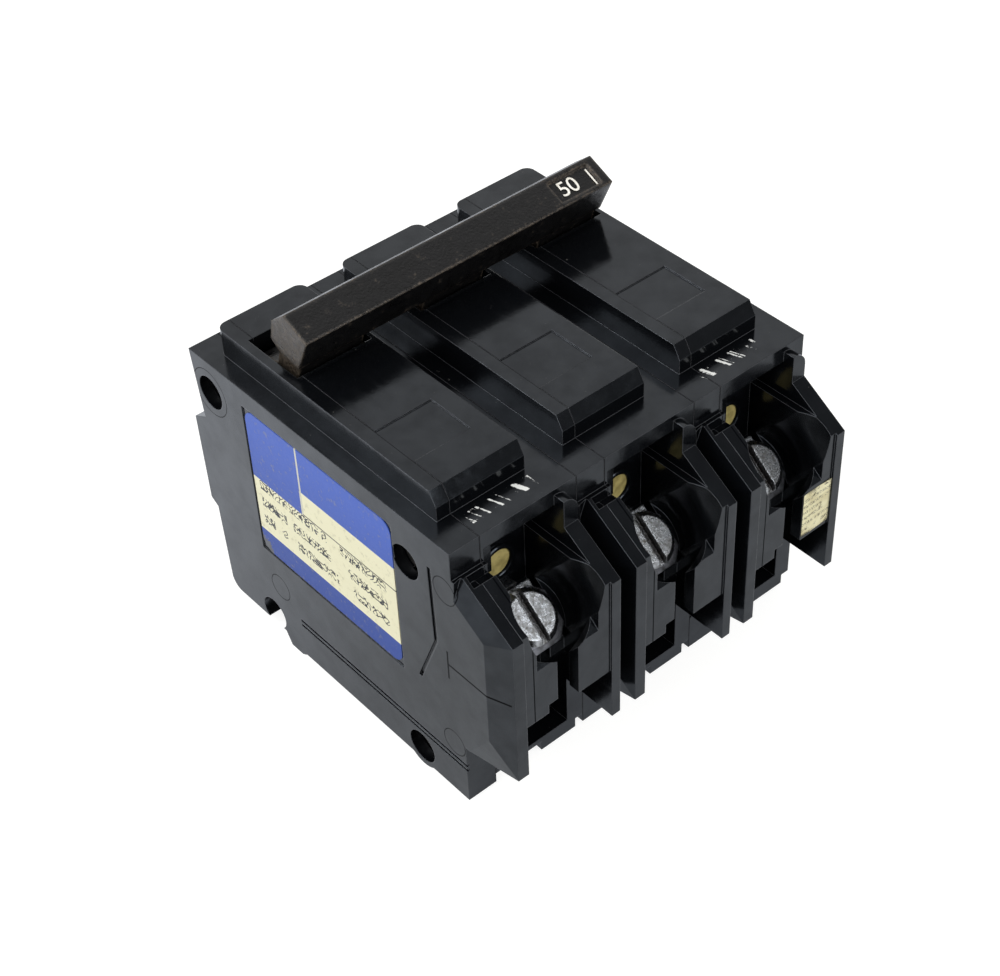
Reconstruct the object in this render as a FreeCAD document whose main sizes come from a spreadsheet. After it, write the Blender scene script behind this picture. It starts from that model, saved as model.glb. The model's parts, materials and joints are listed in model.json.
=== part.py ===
import FreeCAD, Part
import os
import math
import Sketcher
from FreeCAD import Placement, Rotation, Vector

# Three-pole plug-in circuit breaker lying on its back.
# Frame: X runs across the poles from the left shell of the first pole, Y runs from the
# load terminals (-Y) to the line jaws (+Y), and Z is up, out of the handle face.
# Places along a pole are measured from the line end towards the load end ("along"), and
# heights from the surface the breaker lies on. Millimetres and degrees throughout.

POLES = 3

DIMENSIONS = {
    # One pole and where it stands
    "line_y": 39.5,            # Y of the datum at the line end
    "pole_pitch": 25.4,
    "seam": 5.9,               # thickness of the left shell
    "wall": 2.0,
    "cavity_right": 23.4,
    # Side outline of the moulding
    "ledge_height": 56.7,
    "sole": 0.9,
    "body_length": 69.0,
    "lip_length": 68.2,
    "lip_height": 51.2,
    "top_back": 0.7,
    "shelf_root": 2.4,
    "shelf_root_height": 42.8,
    "shelf_tip": -1.0,
    "shelf_tip_height": 41.0,
    "jog": 1.4,
    "jog_height": 22.0,
    "jog_slant": 0.6,
    "tail_back": 2.4,
    "tail_height": 2.6,
    "tail_corner": 2.6,
    "heel_start": 18.4,
    "heel_back": 19.8,
    "heel_front": 23.0,
    "heel_slope": 1.4,
    # Raised boss round the handle
    "boss_height": 61.9,
    "boss_left": 3.3,
    "boss_right": 20.8,
    "boss_back": 5.0,
    "boss_front": 61.5,
    "boss_bevel": 1.5,
    "boss_bevel_drop": 2.5,
    "boss_corner": 1.8,
    "panel_right": 17.2,
    "panel_back": 43.7,
    "panel_front": 53.3,
    "panel_depth": 0.25,
    # Terminal barriers
    "wing_length": 80.0,
    "wing_seam": 3.9,
    "wing_inset": 1.7,
    "wing_crease": 4.8,
    "wing_top_crease": 4.3,
    "wing_toe": 6.9,
    "wing_heel": 10.0,
    "wing_step_front": 70.8,
    "wing_step_left": 2.3,
    "wing_step_floor": 49.4,
    "ear_left": 20.8,
    "ear_front": 70.4,
    "ear_bottom": 50.0,
    "ear_top": 55.6,
    "ear_corner": 2.6,
    "wing_bottom": 14.1,
    "wing_top_front": 44.3,
    "wing_root": 63.0,
    "rib_proud": 0.4,
    "rib_left": 21.9,
    # Terminal recess, guide blocks and sill
    "recess_back": 62.5,
    "recess_left": 6.6,
    "recess_right": 19.4,
    "recess_top": 53.6,
    "recess_shoulder": 46.7,
    "shoulder_left": 8.9,
    "shoulder_front": 67.0,
    "sill_height": 3.9,
    "block_bottom": 24.6,
    "block_top": 35.7,
    "block_back": 77.4,
    "gap_left": 10.7,
    "gap_right": 15.1,
    "block_notch": 1.9,
    "shelf_left_end": 9.4,
    "shelf_right_start": 16.4,
    "shelf_front": 71.4,
    "shelf_bottom": 25.4,
    "shelf_bite": 0.2,
    "rail_notch_left": 16.0,
    "rail_notch_right": 23.7,
    "rail_notch_height": 2.9,
    "rail_notch_back": 64.0,
    # Inside of the moulding
    "cavity_back": 10.5,
    "cavity_top": 53.2,
    "cavity_step": 52.5,
    "cavity_step_height": 44.2,
    "cavity_front": 60.5,
    "cavity_floor": 9.0,
    "chute_back": 21.0,
    "chute_height": 19.4,
    # Line jaw slot
    "jaw_left": 9.2,
    "jaw_right": 16.2,
    "jaw_front": 13.2,
    "jaw_roof": 18.2,
    "tang_left": 10.5,
    "tang_right": 15.0,
    "tang_back": 12.8,
    "tang_front": 14.4,
    "tang_top": 28.0,
    "jaw_sheet": 1.3,
    "jaw_reach": 3.6,
    "jaw_mouth": 3.6,
    "jaw_flare": 0.9,
    # Rivets
    "rivet_radius": 1.75,
    "rivet_clearance": 0.05,
    "rivet_sink": 3.5,
    "rivet_head": 2.9,
    "rivet_head_height": 1.2,
    "rivet_well": 3.2,
    "rivet_boss": 4.3,
    "rivet_a_along": 5.7,
    "rivet_a_height": 50.1,
    "rivet_b_along": 57.0,
    "rivet_b_height": 47.3,
    "rivet_c_along": 57.1,
    "rivet_c_height": 4.3,
    "rivet_d_along": 15.5,
    "rivet_d_height": 5.0,
    # Side face relief
    "label_back": 15.0,
    "label_front": 54.0,
    "label_bottom": 21.0,
    "label_top": 53.0,
    "label_corner": 2.4,
    "label_gap": 0.4,
    "label_sheet": 0.15,
    "relief": 0.25,
    "groove_depth": 0.45,
    "groove_back": 24.1,
    "groove_height": 9.2,
    "groove_width": 0.6,
    "groove_pitch": 1.1,
    "channel_top_along": 62.5,
    "channel_top": 50.4,
    "channel_knee_along": 62.9,
    "channel_knee": 34.5,
    "channel_end_along": 58.0,
    "channel_end": 22.9,
    "channel_width": 0.8,
    # Handle
    "pivot_along": 18.4,
    "pivot_height": 50.8,
    "handle_lean": 16.0,
    "drum_radius": 9.8,
    "drum_gap": 0.4,
    "drum_cheek": 0.5,
    "lever_left": 6.0,
    "lever_right": 19.0,
    "lever_half": 2.6,
    "lever_top": 17.0,
    "trunnion_radius": 2.2,
    "running_gap": 0.05,
    "trunnion_end": 1.0,
    "slot_left": 5.0,
    "slot_right": 20.0,
    "slot_back": 11.8,
    "slot_front": 25.2,
    "bar_end_gap": 5.5,
    "bar_back": 4.7,
    "bar_back_height": 18.3,
    "bar_peak": 2.0,
    "bar_peak_height": 22.1,
    "bar_front": 4.1,
    "bar_front_height": 21.2,
    "bar_toe": 3.0,
    "bar_toe_height": 13.8,
    "bar_heel": 2.1,
    "bar_heel_height": 13.35,
    "bar_hip": 4.4,
    "bar_hip_height": 14.3,
    "window_long": 9.0,
    "window_wide": 4.4,
    "window_end": 1.7,
    "window_depth": 0.6,
    # Contact arm and its pin, closed position
    "arm_along": 27.0,
    "arm_height": 38.0,
    "arm_swing": 19.5,
    "arm_left": 11.5,
    "arm_right": 14.0,
    "arm_hub": 3.2,
    "arm_neck_back": 2.24,
    "arm_neck_top": 1.92,
    "arm_heel_back": 2.88,
    "arm_heel_drop": 0.96,
    "arm_toe_front": 2.56,
    "arm_toe_top": 1.28,
    "arm_reach": 9.6,
    "arm_sheet": 2.2,
    "arm_knee": 10.0,
    "arm_length": 16.0,
    "contact_radius": 2.2,
    "contact_height": 1.3,
    "contact_level": 13.5,
    "contact_x": 12.75,
    "pin_radius": 1.5,
    "pin_end": 1.2,
    "stub_radius": 0.8,
    "lug_radius": 1.2,
    "lug_end": 17.4,
    "lug_reach": 5.5,
    "lug_drop": 9.0,
    # Fixed contact
    "fixed_height": 1.5,
    # Cradle
    "cradle_along": 38.0,
    "cradle_height": 47.0,
    "cradle_left": 15.0,
    "cradle_right": 17.0,
    "cradle_hub": 3.0,
    "cradle_crown": 2.6,
    "cradle_brow": 2.2,
    "cradle_reach": 12.2,
    "cradle_toe_top": 9.0,
    "cradle_toe": 13.0,
    "cradle_heel": 9.6,
    "cradle_instep": 9.2,
    "cradle_instep_drop": 10.0,
    "cradle_chin": 2.8,
    "cradle_lug": 1.6,
    # Toggle spring
    "spring_x": 9.0,
    "spring_radius": 1.5,
    "spring_core": 0.9,
    "spring_hook": 2.2,
    "spring_high_along": 34.5,
    "spring_high_height": 43.5,
    # Trip bar
    "trip_along": 46.5,
    "trip_height": 15.0,
    "trip_radius": 2.4,
    "trip_end_gap": 0.2,
    "trip_tab": 7.9,
    "trip_tab_width": 3.0,
    "trip_tab_sheet": 1.1,
    "trip_tab_top": 22.4,
    # Armature, yoke and bimetal
    "armature_along": 52.2,
    "armature_height": 40.2,
    "armature_pin": 0.9,
    "armature_knuckle": 1.8,
    "armature_sheet": 1.4,
    "armature_left": 7.5,
    "armature_right": 14.0,
    "armature_bottom": 20.0,
    "yoke_back": 54.8,
    "yoke_left": 6.5,
    "yoke_right": 17.5,
    "yoke_sheet": 1.5,
    "yoke_bottom": 23.0,
    "yoke_top": 34.0,
    "bimetal_left": 9.0,
    "bimetal_right": 15.0,
    "bimetal_back": 57.0,
    "bimetal_sheet": 1.0,
    "bimetal_bottom": 13.0,
    "bimetal_lug": 3.0,
    "braid_radius": 1.1,
    "braid_half": 0.88,
    "braid_sag": 3.0,
    "braid_sag_along": 9.0,
    "braid_rise": 1.0,
    "braid_rise_back": 10.0,
    # Load terminal, clamp and screw; depths are measured down the screw from its top
    "screw_x": 12.9,
    "screw_along": 71.6,
    "screw_height": 37.4,
    "screw_tilt": 40.0,
    "well_radius": 8.0,
    "well_depth": 5.0,
    "well_reach": 24.0,
    "shank_well": 2.8,
    "shank_well_depth": 13.0,
    "head_radius": 4.8,
    "head_height": 2.8,
    "head_crown": 0.9,
    "driver_slot": 1.4,
    "driver_depth": 1.5,
    "shank_radius": 2.4,
    "shank_end": 10.3,
    "clamp_half": 5.7,
    "clamp_back": 4.4,
    "clamp_sheet": 1.3,
    "clamp_top": 2.85,
    "clamp_bore": 2.6,
    "clamp_corner": 2.2,
    "plate_top": 6.0,
    "plate_sheet": 1.6,
    "plate_half": 5.9,
    "plate_back": 5.1,
    "tail_left": 9.4,
    "tail_right": 16.4,
    "tail_bend": 1.2,
    "tail_bite": 0.5,
    # Calibration screw and its seal
    "seal_x": 13.5,
    "seal_height": 42.0,
    "seal_radius": 3.0,
    "seal_depth": 1.2,
    "seal_bore": 5.0,
    "calibration_radius": 1.0,
    # Arc chute
    "plate_count": 5,
    "plate_pitch": 2.5,
    "plate_first": 22.4,
    "arc_sheet": 1.0,
    "arc_left": 6.5,
    "arc_right": 19.0,
    "arc_top": 18.4,
    "arc_notch": 3.2,
    "arc_notch_depth": 4.48,
}


class Size:
    """A length, with its number and the spreadsheet expression that gives it."""

    def __init__(self, number, text):
        self.number = number
        self.text = text

    def __add__(self, other):
        return combine(self, "+", other, self.number + size(other).number)

    def __radd__(self, other):
        return size(other) + self

    def __sub__(self, other):
        return combine(self, "-", other, self.number - size(other).number)

    def __rsub__(self, other):
        return size(other) - self

    def __mul__(self, other):
        return combine(self, "*", other, self.number * size(other).number)

    __rmul__ = __mul__

    def __truediv__(self, other):
        return combine(self, "/", other, self.number / size(other).number)

    def __neg__(self):
        return size(0) - self


def size(value):
    """Take a plain number or a Size, and give a Size."""
    if isinstance(value, Size):
        return value
    return Size(float(value), repr(float(value)))


def combine(first, sign, second, number):
    return Size(number, "(%s %s %s)" % (first.text, sign, size(second).text))


def sine(angle):
    return Size(math.sin(math.radians(angle.number)), "sin(%s)" % angle.text)


def cosine(angle):
    return Size(math.cos(math.radians(angle.number)), "cos(%s)" % angle.text)


class Dimensions:
    """The spreadsheet of driving dimensions; each alias reads as an attribute."""

    def __init__(self, document, table):
        sheet = document.addObject("Spreadsheet::Sheet", "dims")
        for row, (alias, number) in enumerate(table.items(), start=1):
            sheet.set("A%d" % row, alias)
            sheet.set("B%d" % row, str(number))
            sheet.setAlias("B%d" % row, alias)
            setattr(self, alias, Size(float(number), "dims." + alias))


doc = FreeCAD.newDocument("breaker")
d = Dimensions(doc, DIMENSIONS)
doc.recompute()
parts = []


# ---------------------------------------------------------------- sketches and features

def new_body(label):
    body = doc.addObject("PartDesign::Body", label)
    body.Label = label
    parts.append(body)
    return body


def bind(thing, prop, length):
    thing.setExpression(prop, size(length).text)


def y_at(along):
    """Y of a place measured from the line end."""
    return d.line_y - along


def new_sketch(body, plane, height=0):
    """A sketch on one of the body's own origin planes, moved along its normal."""
    origin = [item for item in body.Origin.OriginFeatures if item.Role == plane + "_Plane"][0]
    sketch = body.newObject("Sketcher::SketchObject", body.Name + "_sketch")
    sketch.AttachmentSupport = [(origin, "")]
    sketch.MapMode = "FlatFace"
    sketch.AttachmentOffset = Placement(Vector(0, 0, size(height).number), Rotation())
    bind(sketch, "AttachmentOffset.Base.z", height)
    return sketch


def screw_sketch(body, depth):
    """A sketch square to the terminal screw, centred on its axis, below the head's top."""
    x = d.screw_x
    y = y_at(d.screw_along) + sine(d.screw_tilt) * depth
    z = d.screw_height - cosine(d.screw_tilt) * depth
    sketch = new_sketch(body, "XY")
    tilt = Rotation(Vector(1, 0, 0), d.screw_tilt.number)
    sketch.AttachmentOffset = Placement(Vector(x.number, y.number, z.number), tilt)
    bind(sketch, "AttachmentOffset.Base.x", x)
    bind(sketch, "AttachmentOffset.Base.y", y)
    bind(sketch, "AttachmentOffset.Base.z", z)
    bind(sketch, "AttachmentOffset.Rotation.Angle", d.screw_tilt)
    return sketch


def fix_point(sketch, constraints, texts, geometry, corner, x, y):
    """Hold one point at sketch place (x, y)."""
    for kind, length in (("DistanceX", size(x)), ("DistanceY", size(y))):
        constraints.append(Sketcher.Constraint(kind, -1, 1, geometry, corner, length.number))
        texts.append(length.text)


def draw(sketch, lines, constraints, texts):
    """Add geometry and constraints in one go and tie the constraints to the sheet."""
    sketch.addGeometry(lines, False)
    plain = len(constraints) - len(texts)
    sketch.addConstraint(constraints)
    for index, text in enumerate(texts):
        sketch.setExpression("Constraints[%d]" % (plain + index), text)


def polygon(sketch, points):
    """A closed outline of straight sides through the given points."""
    numbers = [Vector(size(x).number, size(y).number, 0) for x, y in points]
    count = len(points)
    lines = [Part.LineSegment(numbers[i], numbers[(i + 1) % count]) for i in range(count)]
    joins = [Sketcher.Constraint("Coincident", i, 2, (i + 1) % count, 1) for i in range(count)]
    places, texts = [], []
    for i, (x, y) in enumerate(points):
        fix_point(sketch, places, texts, i, 1, x, y)
    draw(sketch, lines, joins + places, texts)
    return sketch


def rectangle(sketch, left, right, bottom, top):
    return polygon(sketch, [(left, bottom), (right, bottom), (right, top), (left, top)])


def circles(sketch, rounds):
    """Circles given as (x, y, radius)."""
    lines, places, texts = [], [], []
    for i, (x, y, radius) in enumerate(rounds):
        centre = Vector(size(x).number, size(y).number, 0)
        lines.append(Part.Circle(centre, Vector(0, 0, 1), size(radius).number))
        places.append(Sketcher.Constraint("Radius", i, size(radius).number))
        texts.append(size(radius).text)
        fix_point(sketch, places, texts, i, 3, x, y)
    draw(sketch, lines, places, texts)
    return sketch


def side_outline(body, x, points):
    """An outline in the side view, at one X, through (along, height) points."""
    return polygon(new_sketch(body, "YZ", x), [(y_at(along), z) for along, z in points])


def side_box(body, x, back, front, bottom, top):
    return side_outline(body, x, [(back, bottom), (front, bottom), (front, top), (back, top)])


def side_circles(body, x, rounds):
    return circles(new_sketch(body, "YZ", x), [(y_at(along), z, r) for along, z, r in rounds])


def feature(body, kind, sketch, length, reverse):
    item = body.newObject("PartDesign::" + kind, body.Name + "_" + kind.lower())
    item.Profile = sketch
    item.Reversed = reverse
    item.Length = size(length).number
    bind(item, "Length", length)
    sketch.Visibility = False
    return item


def pad(body, sketch, length, reverse=False):
    return feature(body, "Pad", sketch, length, reverse)


def pocket(body, sketch, length, reverse=False):
    return feature(body, "Pocket", sketch, length, reverse)


def pad_side(body, left, right, points):
    """Material of one side outline between two X planes."""
    return pad(body, side_outline(body, left, points), size(right) - left)


def cut_side(body, left, right, points):
    """Cut one side outline away between two X planes."""
    return pocket(body, side_outline(body, left, points), size(right) - left, True)


def cut_box(body, left, right, back, front, bottom, top):
    sketch = side_box(body, left, back, front, bottom, top)
    return pocket(body, sketch, size(right) - left, True)


def pad_box(body, left, right, back, front, bottom, top):
    sketch = side_box(body, left, back, front, bottom, top)
    return pad(body, sketch, size(right) - left)


def cut_rounds(body, left, right, rounds):
    return pocket(body, side_circles(body, left, rounds), size(right) - left, True)


def revolve(body, points):
    """Turn an outline of (radius, height) points about the body's own Z axis."""
    sketch = polygon(new_sketch(body, "XZ"), points)
    item = body.newObject("PartDesign::Revolution", body.Name + "_turned")
    item.Profile = sketch
    item.ReferenceAxis = (sketch, ["V_Axis"])
    item.Angle = 360
    return item


def edges_where(body, wanted):
    """Names of the tip's straight edges that pass a test on their two ends."""
    doc.recompute()
    names = []
    for index, edge in enumerate(body.Tip.Shape.Edges, start=1):
        ends = [vertex.Point for vertex in edge.Vertexes]
        if len(ends) == 2 and isinstance(edge.Curve, Part.Line) and wanted(ends[0], ends[1]):
            names.append("Edge%d" % index)
    return names


def near(first, second):
    return abs(first - size(second).number) < 0.01


def round_edges(body, wanted, radius):
    names = edges_where(body, wanted)
    base = body.Tip
    item = body.newObject("PartDesign::Fillet", body.Name + "_fillet")
    item.Base = (base, names)
    item.Radius = size(radius).number
    bind(item, "Radius", radius)
    return item


def shave(body, places, reach):
    """Cut away what stands proud of a flat facet, given by its (x, along, height) corners."""
    points = [Vector(size(x).number, y_at(size(a)).number, size(z).number) for x, a, z in places]
    first = (points[1] - points[0]).normalize()
    normal = first.cross(points[2] - points[0]).normalize()
    turn = Rotation(first, normal.cross(first), normal, "ZXY")
    sketch = new_sketch(body, "XY")
    sketch.setExpression("AttachmentOffset.Base.z", None)
    sketch.AttachmentOffset = Placement(points[0], turn)
    flat = [sketch.AttachmentOffset.inverse().multVec(point) for point in points]
    polygon(sketch, [(point.x, point.y) for point in flat])
    pocket(body, sketch, reach, True)


def place_in_pole(body, pole, x=0, y=0, z=0, tilt=0):
    """Stand a sub-part in its pole, turned about X."""
    across = d.pole_pitch * (pole - POLES / 2) + x
    angle = size(tilt)
    start = Vector(across.number, size(y).number, size(z).number)
    body.Placement = Placement(start, Rotation(Vector(1, 0, 0), angle.number))
    bind(body, "Placement.Base.x", across)
    bind(body, "Placement.Base.y", y)
    bind(body, "Placement.Base.z", z)
    bind(body, "Placement.Rotation.Angle", angle)


# ---------------------------------------------------------------- moulded shells

def moulding_outline():
    """Side outline that both shells of a pole share, up to the ledge."""
    return [
        (d.lip_length, d.ledge_height),
        (d.lip_length, d.lip_height),
        (d.body_length, d.lip_height),
        (d.body_length, d.sole),
        (d.heel_front + d.heel_slope, d.sole),
        (d.heel_front, 0),
        (d.heel_back, 0),
        (d.heel_start, d.tail_height),
        (d.tail_back, d.tail_height),
        (d.jog, d.jog_height - d.jog_slant),
        (d.shelf_tip + d.jog_slant, d.jog_height + d.jog_slant),
        (d.shelf_tip, d.shelf_tip_height),
        (d.shelf_root, d.shelf_root_height),
        (d.top_back, d.ledge_height),
    ]


def boss_outline():
    """Side outline of the raised boss, with its bevelled front."""
    return [
        (d.boss_back, d.ledge_height - 1),
        (d.boss_front, d.ledge_height - 1),
        (d.boss_front, d.boss_height - d.boss_bevel_drop),
        (d.boss_front - d.boss_bevel, d.boss_height),
        (d.boss_back, d.boss_height),
    ]


def wing_outline(front):
    """Side outline of a terminal barrier, from under the ledge to its front edge."""
    slope = (d.lip_height - d.wing_top_front) / (d.wing_length - d.body_length)
    return [
        (d.wing_root, d.wing_bottom),
        (front, d.wing_bottom),
        (front, d.wing_top_front + slope * (d.wing_length - front)),
        (d.body_length, d.lip_height),
        (d.wing_root, d.lip_height),
    ]


def cavity_outline():
    """Room for the mechanism, clear of the rivets and the line jaw."""
    return [
        (d.cavity_back, d.cavity_top),
        (d.cavity_step, d.cavity_top),
        (d.cavity_step, d.cavity_step_height),
        (d.cavity_front, d.cavity_step_height),
        (d.cavity_front, d.cavity_floor),
        (d.chute_back, d.cavity_floor),
        (d.chute_back, d.chute_height),
        (d.cavity_back, d.chute_height),
    ]


def rivet_places():
    return [
        (d.rivet_a_along, d.rivet_a_height),
        (d.rivet_b_along, d.rivet_b_height),
        (d.rivet_c_along, d.rivet_c_height),
        (d.rivet_d_along, d.rivet_d_height),
    ]


def rivet_rounds(radius):
    return [(along, z, radius) for along, z in rivet_places()]


def pin_rounds(gap):
    """Pins of the contact arm, the cradle and the armature."""
    return [
        (d.arm_along, d.arm_height, d.pin_radius + gap),
        (d.cradle_along, d.cradle_height, d.pin_radius + gap),
        (d.armature_along, d.armature_height, d.armature_pin + gap),
    ]


def is_tail_corner(first, second):
    y, z = y_at(d.tail_back), d.tail_height
    return all(near(end.y, y) and near(end.z, z) for end in (first, second))


def is_boss_corner(x):
    """Test for the upright edge of the boss at the line end, at one X."""
    def test(first, second):
        y = y_at(d.boss_back)
        return all(near(end.y, y) and near(end.x, x) for end in (first, second))
    return test


def is_ear_corner(first, second):
    x, z = d.pole_pitch - d.wing_inset, d.ear_top
    return all(near(end.x, x) and near(end.z, z) for end in (first, second))


def cut_line(body, depth, start, end, width):
    """Shallow straight groove in the left face, between two (along, height) places."""
    (a, p), (b, q) = start, end
    points = [(a, p), (b, q), (b + width, q), (a + width, p)]
    if near(p.number, q):
        points = [(a, p), (b, q), (b, q + width), (a, p + width)]
    return cut_side(body, 0, depth, points)


def build_cover(pole):
    """Left shell: a thin side with its half of the boss and its terminal barrier."""
    body = new_body("cover_%d" % (pole + 1))
    pad_side(body, 0, d.seam, moulding_outline())
    round_edges(body, is_tail_corner, d.tail_corner)
    pad(body, side_circles(body, 0, [(d.rivet_c_along, d.rivet_c_height, d.rivet_boss)]), d.seam)
    pad_side(body, 0, d.wing_seam, wing_outline(d.wing_length))
    pad_side(body, d.boss_left, d.seam, boss_outline())
    round_edges(body, is_boss_corner(d.boss_left), d.boss_corner)

    # The barrier's outer face leans in towards its front, its sloping top and its toe
    front = d.wing_length
    crease = front - d.wing_crease
    slope = (d.lip_height - d.wing_top_front) / (front - d.body_length)
    crease_top = d.wing_top_front + slope * d.wing_crease - d.wing_top_crease
    back = d.body_length - d.wing_inset / 4
    inset = d.wing_inset
    shave(body, [
        (0, crease, d.wing_bottom),
        (inset, front, d.wing_bottom),
        (inset, front, d.wing_top_front + d.wing_top_crease),
        (0, crease, crease_top + d.wing_top_crease),
    ], d.wing_crease)
    shave(body, [
        (0, crease, crease_top),
        (inset, front, d.wing_top_front),
        (inset, back, d.wing_top_front + slope * (front - back)),
        (0, back, crease_top + slope * (crease - back)),
    ], d.wing_crease)
    shave(body, [
        (0, crease, d.wing_bottom + d.wing_toe),
        (0, front - d.wing_heel, d.wing_bottom),
        (inset, front, d.wing_bottom),
    ], d.wing_crease)
    cut_box(body, d.wing_step_left, d.wing_seam, d.body_length, d.wing_step_front,
            d.wing_step_floor, d.lip_height)

    # Mechanism room, handle slot and the bearings of the moving pieces
    cut_side(body, d.wall, d.seam, cavity_outline())
    drum = [(d.pivot_along, d.pivot_height, d.drum_radius + d.drum_gap)]
    cut_rounds(body, d.slot_left + d.drum_cheek, d.seam, drum)
    slot = (d.slot_back, d.slot_front, d.pivot_height, d.boss_height)
    cut_box(body, d.slot_left, d.seam, *slot)
    trunnion = [(d.pivot_along, d.pivot_height, d.trunnion_radius + d.running_gap)]
    cut_rounds(body, d.trunnion_end, d.seam, trunnion)
    cut_rounds(body, d.pin_end, d.seam, pin_rounds(0))
    trip_start = 0 if pole else d.trunnion_end
    trip = [(d.trip_along, d.trip_height, d.trip_radius + d.running_gap)]
    cut_rounds(body, trip_start, d.seam, trip)

    # Rivet holes, with wells for the heads in the outermost shell
    cut_rounds(body, 0, d.seam, rivet_rounds(d.rivet_radius + d.rivet_clearance))
    if pole == 0:
        cut_rounds(body, 0, d.rivet_sink, rivet_rounds(d.rivet_well))

    # Shallow relief of the outer face: label field, double line and channel
    field = side_box(body, 0, d.label_back, d.label_front, d.label_bottom, d.label_top)
    pocket(body, field, d.relief, True)
    for step in range(2):
        z = d.groove_height - d.groove_pitch * step
        end = (d.body_length, z)
        cut_line(body, d.groove_depth, (d.groove_back, z), end, d.groove_width)
    knee = (d.channel_knee_along, d.channel_knee)
    cut_line(body, d.groove_depth, (d.channel_top_along, d.channel_top), knee, d.channel_width)
    cut_line(body, d.groove_depth, knee, (d.channel_end_along, d.channel_end), d.channel_width)
    place_in_pole(body, pole)


def build_case(pole):
    """Right shell: mechanism room, terminal recess, guide blocks and right barrier."""
    body = new_body("case_%d" % (pole + 1))
    pad_side(body, d.seam, d.pole_pitch, moulding_outline())
    round_edges(body, is_tail_corner, d.tail_corner)
    boss = [(d.rivet_c_along, d.rivet_c_height, d.rivet_boss)]
    pad(body, side_circles(body, d.seam, boss), d.pole_pitch - d.seam)
    pad_side(body, d.seam, d.boss_right, boss_outline())
    round_edges(body, is_boss_corner(d.boss_right), d.boss_corner)

    # Front end with its barriers; the outer rib stands a little proud of the blocks
    pad_side(body, d.seam, d.pole_pitch - d.wing_inset, wing_outline(d.wing_length))
    block_front = d.wing_length - d.rib_proud
    pad_box(body, d.wing_seam, d.seam, d.body_length, block_front, d.wing_bottom, d.lip_height)
    cut_box(body, d.wing_seam, d.rib_left, block_front, d.wing_length, d.wing_bottom,
            d.lip_height)
    slope = wing_outline(d.wing_length)
    cut_side(body, d.wing_seam, d.pole_pitch, [
        slope[3],
        slope[2],
        (d.wing_length, d.lip_height + 1),
        (d.body_length, d.lip_height + 1),
    ])

    # Rounded shoulder where the right barrier meets the lip, and the step behind the slopes
    pad_box(body, d.ear_left, d.pole_pitch - d.wing_inset, d.body_length - 2, d.ear_front,
            d.ear_bottom, d.ear_top)
    round_edges(body, is_ear_corner, d.ear_corner)
    cut_box(body, d.wing_seam, d.recess_left, d.body_length, d.wing_step_front,
            d.wing_step_floor, d.lip_height)

    # Terminal recess: deep under the ledge, with guide blocks left at the front whose tops
    # are ramps square to the screw
    rise = sine(d.screw_tilt) / cosine(d.screw_tilt)
    ramp_back = d.block_top + (block_front - d.block_back) * rise
    cut_side(body, d.recess_left, d.recess_right, [
        (d.recess_back, ramp_back),
        (d.block_back, ramp_back),
        (d.wing_length, d.block_top - (d.wing_length - block_front) * rise),
        (d.wing_length, d.recess_shoulder),
        (d.recess_back, d.recess_shoulder),
    ])
    cut_box(body, d.shoulder_left, d.ear_left, d.recess_back, d.wing_length,
            d.recess_shoulder, d.recess_top)
    cut_box(body, d.recess_left, d.shoulder_left, d.shoulder_front, d.wing_length,
            d.recess_shoulder, d.recess_top)
    cut_box(body, d.recess_left, d.recess_right, d.recess_back, d.block_back, d.block_bottom,
            ramp_back)
    cut_box(body, d.gap_left, d.gap_right, d.block_back, d.wing_length, d.block_bottom,
            ramp_back)
    cut_box(body, d.recess_left, d.rib_left, d.recess_back, d.body_length, d.sill_height,
            d.block_bottom)
    cut_box(body, d.wing_seam, d.rib_left, d.body_length, d.wing_length, 0, d.block_bottom)
    cut_box(body, d.gap_left - d.block_notch, d.gap_left, d.block_back, d.wing_length,
            d.block_bottom, d.block_bottom + d.block_notch)

    # Shelves that carry the terminal plate, square to the screw
    under = d.plate_top + d.plate_sheet
    middle = d.screw_along - sine(d.screw_tilt) * under
    level = d.screw_height - cosine(d.screw_tilt) * under
    top_back = level + (middle - d.recess_back) * rise
    top_front = level - (d.shelf_front - middle) * rise
    shelf = [
        (d.recess_back - 1, d.shelf_bottom),
        (d.shelf_front, d.shelf_bottom),
        (d.shelf_front, top_front),
        (d.recess_back, top_back),
        (d.recess_back - 1, top_back),
    ]
    pad_side(body, d.recess_left - d.shelf_bite, d.shelf_left_end, shelf)
    pad_side(body, d.shelf_right_start, d.recess_right + d.shelf_bite, shelf)

    # Round well for the screwdriver and clamp, and the shank's own room
    well = circles(screw_sketch(body, d.well_depth), [(0, 0, d.well_radius)])
    pocket(body, well, d.well_reach, True)
    shank = circles(screw_sketch(body, d.well_depth), [(0, 0, d.shank_well)])
    pocket(body, shank, d.shank_well_depth - d.well_depth)

    # Calibration bore, with its wider seat for the seal, and the terminal tail's slot
    bore = circles(new_sketch(body, "XZ", -y_at(d.recess_back)), [
        (d.seal_x, d.seal_height, d.calibration_radius),
    ])
    pocket(body, bore, d.recess_back - d.bimetal_back - d.bimetal_sheet)
    seat = circles(new_sketch(body, "XZ", -y_at(d.recess_back)), [
        (d.seal_x, d.seal_height, d.seal_radius),
    ])
    pocket(body, seat, d.seal_depth)
    access = circles(new_sketch(body, "XZ", -y_at(d.recess_back)), [
        (d.seal_x, d.seal_height, d.seal_bore),
    ])
    pocket(body, access, d.wing_length - d.recess_back, True)
    cut_box(body, d.tail_left, d.tail_right, d.cavity_front - 1, d.recess_back + d.tail_bite,
            tail_bottom(), tail_bottom() + d.plate_sheet)

    # Rail notches under the load end
    for left, right in ((d.seam, d.rail_notch_left), (d.rail_notch_right, d.pole_pitch)):
        cut_box(body, left, right, d.rail_notch_back, d.body_length, 0, d.rail_notch_height)

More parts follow.
